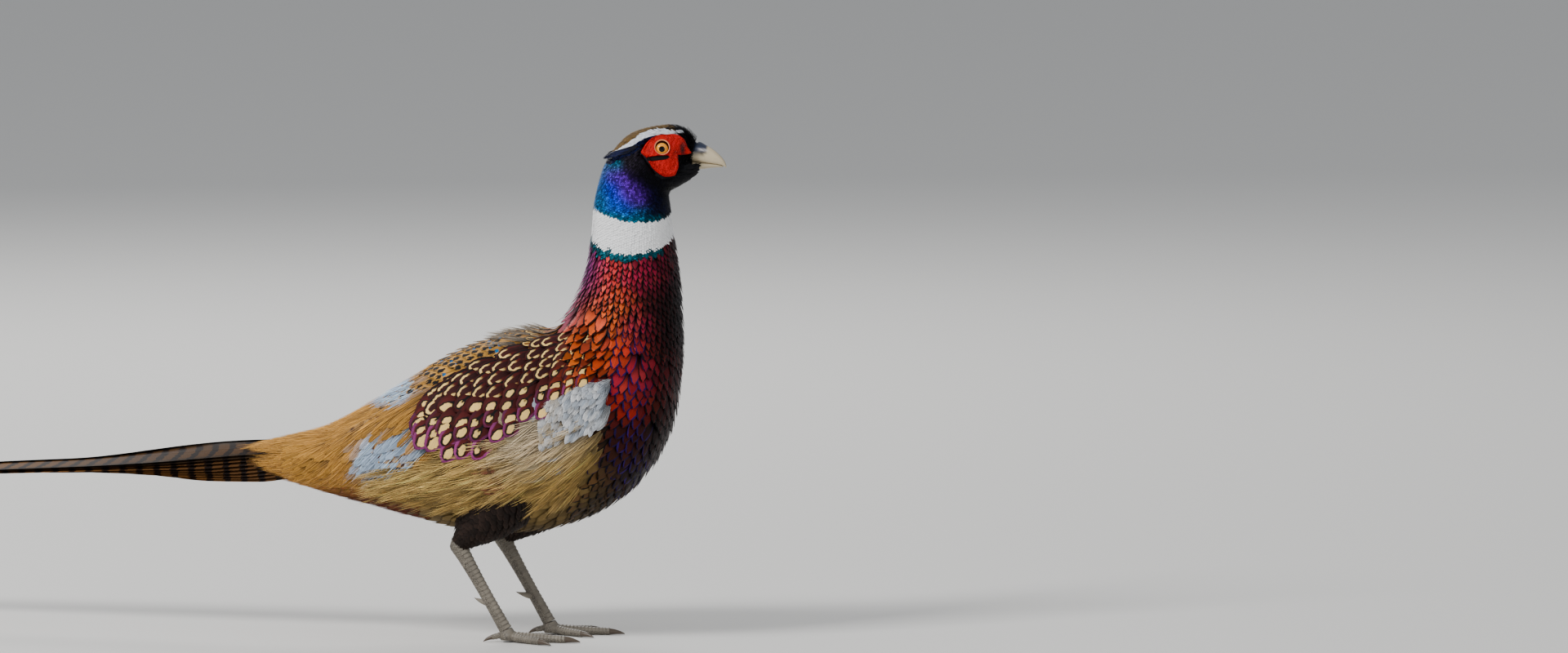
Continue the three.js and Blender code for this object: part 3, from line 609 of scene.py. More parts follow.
def spotted_feather(name, spot_at, spot_wide, spot_long):
    """Scapular: a cream drop, split in some, ringed in black, and a fringe of the edge colour."""
    vane = Vane(name)
    aside = vane.math("ABSOLUTE", vane.shaken(vane.signed, vane.chance, 0.5))
    down = vane.math("DIVIDE", vane.math("SUBTRACT", vane.from_tip, spot_at), spot_long)
    side = vane.math("DIVIDE", aside, vane.times(vane.scaled(down, -0.35, 1.0), spot_wide))
    squares = [vane.math("POWER", value, 2.0) for value in (side, down)]
    far = vane.shaken(vane.math("SQRT", vane.plus(*squares)), vane.noise(300.0), 0.9)
    far = vane.shaken(far, vane.chance, 0.5)
    hollow = vane.times(vane.outside(aside, 0.06, 0.2), vane.step(vane.from_tip, spot_at, spot_at + 0.3))
    hollow = vane.times(hollow, vane.step(vane.chance, 0.6, 0.65))
    ring = vane.mix(vane.step(far, 1.15, 1.6), BLACK, vane.ground)
    drop = vane.mix(vane.step(far, 0.8, 1.0), vane.spot, ring)
    drop = vane.mix(hollow, drop, BLACK)
    return vane.barbed(vane.mix(vane.step(vane.rim, 0.62, 0.8), drop, vane.edge), root=0.5)


def crescent_feather(name):
    """Shoulder feather: a cream crescent inside a black rim, open towards the root."""
    vane = Vane(name)
    rim = vane.shaken(vane.rim, vane.noise(300.0), 0.3)
    band = vane.times(vane.step(rim, 0.34, 0.42), vane.outside(rim, 0.62, 0.7))
    band = vane.times(band, vane.outside(vane.from_tip, 1.3, 1.9))
    inner = vane.mix(vane.times(vane.outside(rim, 0.3, 0.4), 0.6), vane.ground, BLACK)
    colour = vane.mix(vane.step(rim, 0.62, 0.74), vane.mix(band, inner, vane.spot), BLACK)
    return vane.barbed(vane.mix(vane.step(vane.rim, 0.86, 0.94), colour, vane.edge), root=0.5)


def arrow_feather(name):
    """Back feather: ground with a dark arrow, and in some a small bright mark before the tip."""
    vane = Vane(name)
    ragged = vane.shaken(vane.from_tip, vane.noise(320.0), 1.2)
    ragged = vane.plus(ragged, vane.times(vane.across, 0.8))
    tip = vane.times(vane.step(ragged, 0.3, 0.45), vane.outside(ragged, 1.15, 1.5))
    arrow = vane.times(tip, vane.outside(vane.across, 0.6, 0.9))
    glint = vane.times(vane.step(vane.from_tip, 1.2, 1.35), vane.outside(vane.from_tip, 1.7, 1.9))
    glint = vane.times(glint, vane.outside(vane.across, 0.35, 0.5))
    glint = vane.times(glint, vane.step(vane.chance, 0.72, 0.74))
    return vane.barbed(vane.mix(arrow, vane.mix(glint, vane.ground, vane.spot), vane.edge))


def barred_feather(name, period, width):
    """Flight feather: the spot colour in bars every period millimetres, fringed by the edge colour."""
    vane = Vane(name)
    distance = vane.scaled(vane.across, -period * 0.25, vane.times(vane.along, vane.reach))
    ragged = vane.scaled(vane.noise(420.0, 4.0), period * 0.5, distance)
    wave = vane.math("COSINE", vane.times(ragged, 2 * math.pi / period))
    bar = vane.step(wave, width - 0.25, width + 0.25)
    specks = vane.times(vane.step(vane.noise(1500.0, 3.0), 0.42, 0.62), 0.35)
    fringe = vane.times(vane.step(vane.across, 0.62, 0.9), 0.85)
    ground = vane.mix(fringe, vane.mix(specks, vane.ground, vane.spot), vane.edge)
    return vane.barbed(vane.mix(bar, ground, vane.spot), count=9.0)


def hair_feather(name):
    """Hairlike barbs, from the ground colour at the root to the edge colour at the tip."""
    shader = Shader(name, roughness=0.6, specular=0.25, sheen=0.15)
    _across, along = shader.vane_place()
    colour = shader.mix(shader.step(along, 0.1, 0.9), shader.attribute("ground"), shader.attribute("edge"))
    return shader.finish(colour)


BLACK = rgb(14, 11, 12)
GLOSS_BLACK = rgb(6, 6, 12)
NIGHT_BLUE = rgb(6, 12, 46)
BLUE = rgb(4, 34, 178)
TEAL = rgb(0, 104, 160)
GREEN_TEAL = rgb(0, 96, 112)
VIOLET = rgb(92, 24, 168)
LILAC = rgb(120, 44, 150)
EAR_GREY = rgb(30, 24, 34)
WHITE = rgb(240, 240, 240)
BROW_WHITE = rgb(222, 226, 232)
CROWN_OLIVE = rgb(140, 108, 56)
CROWN_DARK = rgb(66, 50, 28)
COPPER = rgb(172, 60, 8)
ORANGE = rgb(206, 92, 14)
RED_COPPER = rgb(190, 34, 18)
MAGENTA = rgb(164, 16, 66)
BREAST_EDGE = rgb(44, 12, 96)
MAROON = rgb(66, 8, 8)
MAROON_WITH_PAINTED_SHADE = rgb(34, 6, 6)
BELLY = rgb(26, 17, 13)
SCAPULAR_MAROON = rgb(74, 20, 18)
CREAM = rgb(232, 192, 112)
WING_PURPLE = rgb(128, 50, 104)
GOLD = rgb(180, 130, 54)
PALE_GOLD = rgb(216, 178, 100)
RUMP_GOLD = rgb(192, 138, 56)
POWDER_BLUE = rgb(184, 204, 228)
WING_BLUE = rgb(178, 188, 200)
CHESTNUT = rgb(112, 50, 26)
TAIL_BUFF = rgb(108, 72, 34)
TAIL_OLIVE = rgb(66, 48, 28)
TAIL_DARK = rgb(38, 22, 14)
TAIL_RUSTY = rgb(128, 84, 40)
HORN = rgb(196, 180, 148)
CERE = rgb(34, 42, 62)
NOSTRIL_PALE = rgb(206, 200, 200)
WATTLE_RED = rgb(208, 4, 2)
WATTLE_GAP_SHADE = rgb(70, 0, 0)
LID_PINK = rgb(226, 150, 96)
LEG_GREY = rgb(138, 130, 116)
LEG_DARK = rgb(88, 82, 74)
CLAW_BROWN = rgb(74, 62, 50)

gloss_vane = fringed_feather("glossy_feather", 0.7, 1.0, roughness=0.4, specular=0.12, metallic=0.5)
plain_vane = fringed_feather("soft_feather", 0.75, 1.0)
white_vane = fringed_feather("white_feather", 0.75, 1.0, root=0.75)
crown_vane = fringed_feather("crown_feather", 0.3, 0.9)
neck_vane = scale_feather("neck_feather", 0.22, roughness=0.45, specular=0.15, metallic=0.45)
breast_vane = scale_feather("breast_feather", 0.1, roughness=0.45, specular=0.15, metallic=0.45)
scapular_vane = spotted_feather("scapular_feather", 1.05, 0.42, 0.64)
crescent_vane = crescent_feather("shoulder_feather")
mantle_vane = arrow_feather("back_feather")
wing_vane = barred_feather("wing_feather", 7.5, 0.2)
tail_vane = barred_feather("tail_feather", 13.6, 0.3)
hair = hair_feather("hairlike_feather")

# Skin under the feathers

# Places along the body, and how deep the skin lies under the coat's surface there.
SKIN_DEPTH = [(0, 3.5), (6, 3.5), (8, 2.4), (10, 1.6), (12, 1.0), (16, 0.8)]


def skin_depth(t):
    places, depths = zip(*SKIN_DEPTH)
    return np.interp(t, places, depths)


def ring_band(turn):
    """Lower and upper edge of the white neck ring, as places along the body."""
    side, front = np.abs(np.sin(turn)), 0.5 - 0.5 * np.cos(turn)
    return 9.05 - 0.42 * side, 10.12 - 0.4 * side - 0.3 * front


# Heights up the neck, and their places along the body.
NECK_HEIGHTS = [258, 275, 299, 321, 338]
NECK_PLACES = [7.7, 8.25, 9, 10, 11.1]


def brow_height(x):
    """Height of the white brow's middle line."""
    return np.interp(x, [79, 87, 95, 102, 113, 126], [357.5, 363.3, 368.1, 373.1, 376.4, 376.0])


def head_colours(points):
    """Ground colours of the head and upper neck, and where the crown and the brow are."""
    x, z = points[:, 0], points[:, 2]
    places = [
        (72, 350, 6, TEAL), (67, 338, 6, TEAL), (68, 326, 7, TEAL), (81, 352, 4, GREEN_TEAL),
        (79, 336, 6, BLUE), (80, 345, 5, VIOLET * 0.8), (86, 323, 7, BLUE), (84, 316, 6, TEAL),
        (100, 316, 6, TEAL * 0.6), (94, 332, 6, VIOLET), (101, 328, 5, VIOLET * 0.8),
        (88, 340, 5, VIOLET * 0.7), (96, 357, 7, EAR_GREY), (95, 347, 6, EAR_GREY * 0.5),
        (104, 341, 7, GLOSS_BLACK), (110, 328, 6, NIGHT_BLUE),
        (114, 320, 7, NIGHT_BLUE), (122, 330, 12, GLOSS_BLACK), (112, 340, 10, GLOSS_BLACK),
        (132, 348, 10, GLOSS_BLACK), (134, 368, 12, GLOSS_BLACK),
    ]
    colour = blend_places(x, z, places)
    above = z - brow_height(x)
    thick = np.interp(x, [78, 90, 108, 120, 132], [1.1, 1.9, 2.3, 1.7, 0.7])
    brow = (np.abs(above) < thick) & (x > 77) & (x < 132)
    band = (above <= -thick) & (above > -thick - np.interp(x, [80, 100, 120], [4, 6, 3])) & (x < 124)
    crown = (above >= thick) & (x < 122 + 8 * (random.random(len(x)) - 0.5))
    forehead = (above >= thick) & ~crown
    colour = np.where(band[:, None], NIGHT_BLUE, colour)
    colour = np.where(forehead[:, None], GLOSS_BLACK, colour)
    colour = np.where(crown[:, None], CROWN_OLIVE, colour)
    return np.where(brow[:, None], BROW_WHITE, colour), crown, brow


def body_colours(points):
    """Ground colours below the ring."""
    x, z = points[:, 0], points[:, 2]
    places = [
        (64, 280, 10, LILAC), (60, 262, 11, LILAC), (50, 248, 10, LILAC), (40, 238, 9, LILAC),
        (84, 282, 12, RED_COPPER), (98, 276, 12, MAGENTA), (110, 270, 10, MAGENTA * 0.7),
        (78, 262, 14, RED_COPPER), (60, 244, 12, ORANGE), (72, 238, 16, COPPER), (84, 244, 12, ORANGE),
        (86, 222, 13, COPPER), (102, 234, 10, MAGENTA), (98, 212, 10, RED_COPPER), (104, 198, 11, MAGENTA),
        # The front and underside of the breast are a deeper maroon than their own colour: partly maroon,
        # partly painted shade.
        (98, 180, 11, RED_COPPER), (122, 262, 16, MAROON_WITH_PAINTED_SHADE), (124, 230, 17, MAROON_WITH_PAINTED_SHADE),
        (122, 196, 18, MAROON), (114, 160, 18, MAROON_WITH_PAINTED_SHADE), (90, 150, 12, MAROON),
        (90, 128, 22, MAROON_WITH_PAINTED_SHADE), (60, 100, 30, BELLY), (0, 88, 36, BELLY), (-50, 94, 26, BELLY),
        (-90, 108, 16, CHESTNUT), (-120, 116, 16, CHESTNUT), (40, 226, 16, ORANGE), (10, 220, 22, GOLD),
        (-30, 205, 24, GOLD), (-60, 190, 20, GOLD), (-90, 170, 24, RUMP_GOLD),
        (-130, 140, 26, RUMP_GOLD), (-20, 130, 34, PALE_GOLD), (36, 130, 24, PALE_GOLD),
    ]
    return blend_places(x, z, places)


def skin_colours(points, t, turn):
    head, _crown, _brow = head_colours(points)
    low, high = ring_band(turn)
    colour = np.where((t > high)[:, None], head, body_colours(points))
    colour = np.where(((t > low) & (t <= high))[:, None], WHITE, colour)
    # The skin takes the plumage's colours at 0.55 of their brightness: painted shade in the gaps between the
    # feathers.
    return colour * 0.55


def limb_rings(path, radii, sides, flat=1.0):
    """Rings round a path. flat is their share of height to width."""
    path, radii = np.asarray(path, float), np.asarray(radii, float)
    along = unit(np.gradient(path, axis=0))
    across = unit(np.cross(np.array([0.0, 1, 0]), along))
    beside = np.cross(along, across)
    turns = (np.arange(sides) * 2 * np.pi / sides)[None, :, None]
    ring = across[:, None] * np.cos(turns) + beside[:, None] * np.sin(turns) * flat
    return path[:, None] + ring * radii[:, None, None]


# The legs: distances from the middle of the body, from the foot and from the floor.
LEG_APART = 27
FEET_X = {RIGHT: 6, LEFT: 30}
HOCK_BACK, HOCK_HEIGHT = 37, 71
KNEE_AHEAD, KNEE_HEIGHT, KNEE_APART = 6, 120, 34
ANKLE_HEIGHT = 9


def leg_points(side):
    """The joints of one leg."""
    x = FEET_X[side]
    return {
        "foot": np.array([x, side * LEG_APART, 0.0]),
        "ankle": np.array([x - 2, side * LEG_APART, ANKLE_HEIGHT]),
        "hock": np.array([x - HOCK_BACK, side * (LEG_APART + 1), HOCK_HEIGHT]),
        "knee": np.array([x + KNEE_AHEAD, side * KNEE_APART, KNEE_HEIGHT]),
    }


# Shares of the way from knee to hock, and the feathered thigh's radius there.
THIGH_SHARES = [-0.1, 0.1, 0.3, 0.55, 0.75, 0.88, 0.97]
THIGH_RADII = [26, 27, 27, 22, 15, 9.5, 6.4]


def thigh_ring(side, share, turn, lift):
    """Points on the feathered thigh, share of the way from knee to hock."""
    spots = leg_points(side)
    axis = spots["hock"] - spots["knee"]
    along = axis / np.linalg.norm(axis)
    across = unit(np.cross(np.array([0.0, 1, 0]), along))
    beside = np.cross(along, across)
    radius = np.interp(share, THIGH_SHARES, THIGH_RADII) + lift
    outward = across * np.cos(turn)[..., None] + beside * 0.8 * np.sin(turn)[..., None]
    return spots["knee"] + axis * np.asarray(share)[..., None] + outward * radius[..., None], unit(outward)


def skin():
    steps, around = 150, 72
    t = np.linspace(0, BILL_AT, steps)
    turn = np.arange(around) * 2 * np.pi / around
    grid_t, grid_turn = np.meshgrid(t, turn, indexing="ij")
    points, _out = plumage(grid_t, grid_turn, -skin_depth(grid_t))
    flat, faces = closed_tube(points)
    tall = np.concatenate([t[:1], t, t[-1:]])
    t_all = np.repeat(tall, around)
    turn_all = np.tile(turn, steps + 2)
    colours = skin_colours(flat, t_all, turn_all)
    bake = bake_uv(t_all, turn_all, np.full(len(flat), 0.5), np.full(len(flat), 0.5))
    for side in SIDES:
        share = np.linspace(-0.1, 0.97, 24)
        grid_s, grid_a = np.meshgrid(share, np.arange(24) * 2 * np.pi / 24, indexing="ij")
        thigh, _out = thigh_ring(side, grid_s, grid_a, -2.0)
        more, more_faces = closed_tube(thigh)
        faces = np.concatenate([faces, more_faces + len(flat)])
        flat = np.concatenate([flat, more])
        colours = np.concatenate([colours, np.broadcast_to(BELLY, (len(more), 3))])
        bake = np.concatenate([bake, np.full((len(more), 2), 0.985)])
    shader = Shader("skin", roughness=0.8, specular=0.2)
    material = shader.finish(shader.attribute("ground"))
    piece = make("skin", flat, faces, material, {"OFBake": bake}, {"ground": colours})
    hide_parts("torso", "neck", "head", "thigh_left", "thigh_right", "wing_left", "wing_right")


# Plumage by region


def cover(name, t, turn, length, half, material, colours, point, heading=0.0, depth=None, tip_lift=0.4,
          stations=BODY_STATIONS, slot="torso"):
    """Feathers rooted in the skin at (t, turn), lying tailwards."""
    depth = skin_depth(t) if depth is None else depth
    tip = tip_lift + 0.5 * random.random(len(t))
    lines = walk(t, turn, length, heading, stations, -depth, tip)
    roll = 0.12 * (random.random(len(t)) - 0.5)
    feathers(name, lines, half, material, colours, (point, 0.12, 0.16), stations, roll)


def tips(t, turn, length, heading=0.0):
    """Where the visible end of each feather lies."""
    return walk(t, turn, length * 0.8, heading, np.array([0.0, 0.5, 1.0]), 0, 0)[0][:, -1]


# The outline of the bare skin: directions from the eye in degrees, 0 ahead and 90 up, and distances.
WATTLE_EDGE = [
    (-180, 13.6), (-168, 16), (-152, 13.6), (-128, 14.4), (-104, 17.8), (-84, 21.6), (-66, 22.6), (-50, 18.6),
    (-36, 14.4), (-24, 12.8), (-12, 21.8), (0, 18.4), (20, 17), (36, 14.8), (64, 9.8), (90, 8.6), (128, 9),
    (158, 11.2), (180, 13.6),
]
EYE_X, EYE_Z = 116.6, 365.0
LID = 5.1  # inner radius of the bare skin, where the eyelids lie


def wattle_reach(angle):
    """Distance from the eye to the edge of the bare skin, in a direction given in degrees."""
    angles, reaches = zip(*WATTLE_EDGE)
    return np.interp(angle, angles, reaches)


def off_the_face(points, margin):
    """True where a place isn't on the bare red skin round the eye."""
    ahead, up = points[:, 0] - EYE_X, points[:, 2] - EYE_Z
    far = np.hypot(ahead, up)
    bare = (far < wattle_reach(np.degrees(np.arctan2(up, ahead))) + margin) & (np.abs(points[:, 1]) > 6)
    return ~bare


def turn_from_back(turn):
    """Angle from the ridge of the back, the same on both sides."""
    return np.minimum(turn, 2 * np.pi - turn)


def painted_glints(colour):
    """Painted glints on iridescent feathers: each feather's colour scaled at random, most dimmed, a few
    brightened.
    """
    return colour * (0.4 + 1.5 * random.random((len(colour), 1)) ** 2)


def head_feathers():
    t, turn = field(BILL_AT - 0.12, HEAD_AT - 0.4, 116, 1.4, 1.25)
    length = np.interp(t, [10, 12, 15.5], [5.6, 4.8, 2.9])
    half = np.interp(t, [10, 12, 15.5], [1.2, 1.0, 0.68])
    place = tips(t, turn, length)
    kept = off_the_face(place, 0.6) & off_the_face(body(t, turn), 0.2)
    t, turn, length, half, place = keep(kept, t, turn, length, half, place)
    ground, crown, brow = head_colours(place)
    dark = ~(crown | brow)
    # The head's glossy feathers carry painted glints.
    glint = painted_glints(ground)[dark]
    white = vary(ground, len(t), 0.15)[brow]
    small = {"stations": SMALL_STATIONS, "slot": "head"}
    cover("head_feathers", *keep(dark, t, turn, length, half), gloss_vane,
          {"ground": glint, "edge": glint * 0.35}, 0.6,
          tip_lift=0.3 + 0.5 * random.random(dark.sum()), **small)
    cover("brow_feathers", *keep(brow, t, turn, length, half), white_vane,
          {"ground": white, "edge": white * 0.9}, 0.6, tip_lift=0.7, **small)
    t, turn, length, half = keep(crown, t, turn, length * 1.25, half * 0.9)
    cover("crown_feathers", t, turn, length, half, crown_vane,
          {"ground": vary(CROWN_DARK, len(t)), "edge": vary(CROWN_OLIVE, len(t), 0.3)}, 0.8,
          tip_lift=0.5, **small)


def neck_feathers():
    t, turn = field(HEAD_AT + 0.1, 8.0, 104, 1.85, 1.6)
    length = 7.0
    place = tips(t, turn, length)
    reach = np.interp(place[:, 2], NECK_HEIGHTS, NECK_PLACES)
    low, high = ring_band(turn)
    from_front = np.abs(turn - np.pi)
    white = (reach > low) & (reach <= high)
    gloss = reach > high
    ragged = 0.1 + 0.12 * random.random(len(t))
    teal = (reach > low - ragged) & (reach <= low) & (from_front > 0.7)
    ground, _crown, _brow = head_colours(place)
    near = smooth(high + 0.3 - reach, 0, 0.3)[:, None]
    # The front of the neck darkens to a dim night blue: partly its own dark gloss, partly painted shade.
    front = smooth(0.9 - from_front, 0, 0.5)[:, None]
    ground = ground * (1 - near * 0.8) + GREEN_TEAL * near * 0.8
    ground = ground * (1 - front) + NIGHT_BLUE * 0.5 * front
    # The upper neck's glossy feathers and the ring's edge carry painted glints.
    for name, chosen, vane, colour, rim in (
        ("upper_neck_feathers", gloss, gloss_vane, painted_glints(ground), 0.4),
        ("ring_feathers", white, white_vane, np.broadcast_to(WHITE, (len(t), 3)), 1.0),
        ("ring_edge_feathers", teal, gloss_vane, painted_glints(np.broadcast_to(GREEN_TEAL, (len(t), 3))), 0.4),
    ):
        tint = vary(colour[chosen], chosen.sum(), 0.05)
        cover(name, t[chosen], turn[chosen], length, 1.6, vane, {"ground": tint, "edge": tint * rim}, 0.6,
              stations=SMALL_STATIONS, slot="neck")


def breast_feathers():
    for name, vane, t_from, t_to, columns, step, around, length, half in (
        ("lower_neck_feathers", neck_vane, 9.4, 7.1, 56, 4.4, 3.7, 15.0, 2.7),
        ("breast_feathers", breast_vane, 7.4, 4.0, 50, 7.6, 6.4, 23.0, 5.0),
    ):
        t, turn = field(t_from, t_to, columns, step, around, jitter=0.4)
        place = tips(t, turn, length)
        reach = np.interp(place[:, 2], NECK_HEIGHTS[:3], NECK_PLACES[:3])
        low, _high = ring_band(turn)
        behind = (place[:, 0] < 52) & (place[:, 2] < 236)
        under = (place[:, 0] < 84) & (place[:, 2] < 132) & (turn_from_back(turn) < 2.2)
        kept = ((reach < low) | (place[:, 2] < 262)) & ~behind & ~under
        t, turn, place, reach, low = keep(kept, t, turn, place, reach, low)
        count, x, z, from_back = len(t), place[:, 0], place[:, 2], turn_from_back(turn)
        # Painted glints: each feather's brightness is scaled at random, most of them dimmer.
        ground = body_colours(place) * (0.4 + 0.75 * random.random((count, 1)))
        near = smooth(reach, low - 0.22, low - 0.06) * smooth(z, 262, 276)
        near = (near * smooth(np.abs(turn - np.pi), 0.4, 1.0))[:, None]
        near = 1.0 * (near > 0.3 + 0.5 * random.random((count, 1)))
        hue = np.stack([ORANGE, RED_COPPER, MAGENTA, COPPER * 0.6])[random.integers(0, 4, count)]
        ground = ground * 0.78 + hue * 0.22 * ground.max(1, keepdims=True) / RED_COPPER.max()
        ground = ground * (1 - near) + GREEN_TEAL * (0.2 + 0.4 * random.random((count, 1))) * near
        violet = smooth(x, 80, 94) * (1 - smooth(x, 104, 116)) * random.random(count)
        violet = violet * (1 - smooth(z, 205, 245))
        edge = BLACK * 0.5 + (BREAST_EDGE - BLACK * 0.5) * violet[:, None]
        edge = np.where(near > 0.5, ground * 0.6, edge)
        shoulder = smooth(84 - x, 0, 14) * smooth(z, 188, 200) * smooth(246 - z, 0, 12)
        wide = half * (0.85 + 0.3 * random.random(count)) * (0.6 + 0.4 * smooth(from_back, 0.4, 1.1))
        lift = 0.6 + 0.6 * random.random(count) + 4.5 * shoulder * smooth(from_back, 0.2, 0.7)
        cover(name, t, turn, length, wide, vane, {"ground": ground, "edge": edge}, 0.62, tip_lift=lift,
              slot="neck")


def torso_feathers():
    t, turn = field(5.6, -0.1, 60, 8.0, 7.0)
    heading = np.full(len(t), 0.12)
    place = tips(t, turn, 24.0, heading)
    x, z = place[:, 0], place[:, 2]
    back = turn_from_back(turn) < 0.95
    under = (turn_from_back(turn) > 1.7) & (z < 122 + 0.1 * np.abs(x))
    flank = ~back & ~under
    back = back & (x > -100)
    ground = vary(body_colours(place), len(t), 0.3)
    for name, chosen, vane, half, length, edge, spot in (
        ("back_feathers", back & (x <= 12), mantle_vane, 5.2, 22.0, BLACK, TEAL),
        ("mantle_feathers", back & (x > 12), crescent_vane, 4.4, 20.0, BLACK, CREAM),
        ("belly_feathers", under, plain_vane, 5.5, 26.0, None, BELLY),
        ("flank_feathers", flank & (x > -110) & (x <= 10), plain_vane, 5.0, 26.0, PALE_GOLD * 0.7, PALE_GOLD),
        ("tipped_flank_feathers", flank & (x > 10), plain_vane, 5.0, 26.0, BLACK + VIOLET * 0.1, PALE_GOLD),
    ):
        tint = ground[chosen]
        colours = {"ground": tint, "edge": tint * 0.7 if edge is None else edge, "spot": spot}
        cover(name, t[chosen], turn[chosen], length, half, vane, colours, 0.55, heading=heading[chosen],
              tip_lift=0.6)


def fan_of_hairs(name, lines, fan, ground, edge, per_plume, radius):
    """Hairs that part from each centre line, as the barbs of a loose feather do."""
    centres, outwards, t, turn = lines
    along = unit(np.gradient(centres, axis=1))
    across = np.cross(outwards, along)
    count, steps = centres.shape[:2]
    s = np.linspace(0, 1, steps)[None, :]
    start = centres[:, :1]
    hairs = []
    for k in range(per_plume):
        offset = (k / (per_plume - 1) - 0.5) * 2 + 0.3 * (random.random(count) - 0.5)
        short = 1 - 0.35 * offset**2 - 0.2 * random.random(count)
        apart = (offset[:, None] * fan * np.sqrt(s))[..., None]
        stray = (2.4 * (random.random(count)[:, None] - 0.5) * s**2)[..., None]
        line = start + (centres - start) * short[:, None, None] + across * (apart + stray)
        hairs.append(line + outwards * (1.2 * random.random(count)[:, None, None] * s[..., None]))
    owners = np.tile(np.arange(count), per_plume)
    shade = (0.45 + 0.85 * random.random(len(owners)))[:, None]
    # Each hair's root colour is halved: painted shade deep in the coat.
    strands(name, np.concatenate(hairs), t[owners], turn[owners], radius,
            {"ground": ground[owners] * shade * 0.5, "edge": np.minimum(edge[owners] * shade, 0.95)})


def hair_plumes(name, t, turn, length, heading, fan, ground, edge, tip_lift, root_lift=-2.5,
                per_plume=10, radius=0.3):
    """Loose feathers whose barbs part into hairs, rooted in the skin."""
    lines = walk(t, turn, length, heading, np.linspace(0, 1, 5), root_lift, tip_lift)
    fan_of_hairs(name, lines, fan, ground, edge, per_plume, radius)


def rump_colours(x, z):
    """Golden rump, chestnut below, with a powder-blue patch on each side and along its ridge."""
    colour = np.broadcast_to(RUMP_GOLD, (len(x), 3))
    side, ridge = mound(x, z, -84, 133, 25, 16), mound(x, z, -84, 180, 22, 10)
    blue = smooth(np.maximum(side, ridge) + 0.3 * (random.random(len(x)) - 0.5), 0.3, 0.6)[:, None]
    under = smooth(114 - z, 0, 12)[:, None]
    colour = colour * (1 - blue) + POWDER_BLUE * blue
    return colour * (1 - under) + CHESTNUT * under


def rump_plumes():
    t, turn = field(3.1, -0.15, 56, 6.4, 5.0, jitter=0.5)
    from_back = turn_from_back(turn)
    heading = 0.14 + 0.5 * smooth(from_back, 0.5, 1.3) * (1 - smooth(from_back, 1.6, 2.2))
    heading = heading * np.interp(t, [0, 1.2, 2.5], [0.3, 0.8, 1.0])
    place = tips(t, turn, 34.0, heading)
    x, z = place[:, 0], place[:, 2]
    front = np.interp(from_back, [0.4, 1.0, 1.5, 2.2], [-66, -62, -58, -70])
    kept = x < front + 14 * (random.random(len(x)) - 0.5)
    t, turn, x, z, heading, from_back = keep(kept, t, turn, x, z, heading, from_back)
    ground = vary(rump_colours(x, z), len(t), 0.2)
    length = np.interp(x, [-170, -120, -60], [44, 38, 32])
    over_wing = smooth(from_back, 0.6, 1.0) * (1 - smooth(from_back, 1.7, 2.0)) * smooth(x, -165, -140)
    hair_plumes("rump_hairs", t, turn, length, heading, 3.4, ground * 0.8, ground * 1.25,
                1.6 + 5.0 * over_wing, -2.5 + 4 * over_wing, per_plume=8)
    # The vanes under the hairs take the rump's colours darkened: painted shade beneath the hairs.
    cover("rump_feathers", t, turn, length * 0.8, 4.4, plain_vane,
          {"ground": ground * 0.55, "edge": ground * 0.8}, 0.7, heading,
          2.5 - 3 * over_wing, 0.4 + 4.4 * over_wing)


def flank_plumes():
    """Straw-gold plumes that hide the lower edge of the folded wing."""
    for layer, lift, shade in (("under", WING_TOP - 3.0, 0.65), ("over", WING_TOP, 1.0)):
        t, turn = field(5.3, 1.2, 66, 5.6, 4.6, jitter=0.6)
        start = body(t, turn)
        under = np.interp(start[:, 0], WING_X, WING_LOWER) - start[:, 2]
        heading = np.interp(under, [-30, 0, 14, 30], [0.2, 0.26, 0.36, 0.36])
        heading = heading + 0.5 * (random.random(len(t)) - 0.5)
        place = tips(t, turn, 38.0, heading)
        x, z = place[:, 0], place[:, 2]
        ragged = 14 * (random.random(len(x)) - 0.5)
        top = np.interp(x, [-100, -60, -20, 20, 52], [-12, -26, -34, -42, -30])
        kept = (under > top + ragged) & (z > 94) & (turn_from_back(turn) < 2.25)
        kept = kept & (x > -104) & (x < 54 + ragged)
        t, turn, heading, x, under = keep(kept, t, turn, heading, x, under)
        ground = vary(PALE_GOLD, len(t), 0.3) * shade
        over_wing = smooth(-under, -6, 6)
        pale = smooth(-under, 4, 34)[:, None] * smooth(x, -30, 10)[:, None]
        ground = ground * (1 - pale) + (CREAM * 0.55 + WHITE * 0.3) * shade * pale
        hair_plumes(f"flank_hairs_{layer}", t, turn, 36.0, heading, 3.6, ground * 0.7, ground * 1.15,
                    lift + 1.5 * over_wing, -2.5 + 6.5 * over_wing, radius=0.32)


# Wings

WING_TOP = 7.0  # how far the flank plumes' tips stand off, over the wing's lower edge


def wing_row(name, side, count, first, last, root_lift, tip_lift, tilt, material, colours, point,
             jitter=1.0, stations=FLIGHT_STATIONS):
    """A row of vanes. first and last are the root, tip and half width of the row's end vanes."""
    f = np.linspace(0, 1, count)[:, None]
    roots, ends, half = (np.array(a) + (np.array(b) - np.array(a)) * f for a, b in zip(first, last))
    ends = ends + jitter * (random.random((count, 2)) - 0.5) * 2
    lines = chords(roots, ends, side, stations, root_lift, tip_lift)
    tints = {k: vary(c, count, 0.12) for k, c in colours.items()}
    feathers(f"{name}_{WORDS[side]}", lines, half[:, 0], material, tints, (point, 0.1, 0.3),
             stations, -tilt * side)


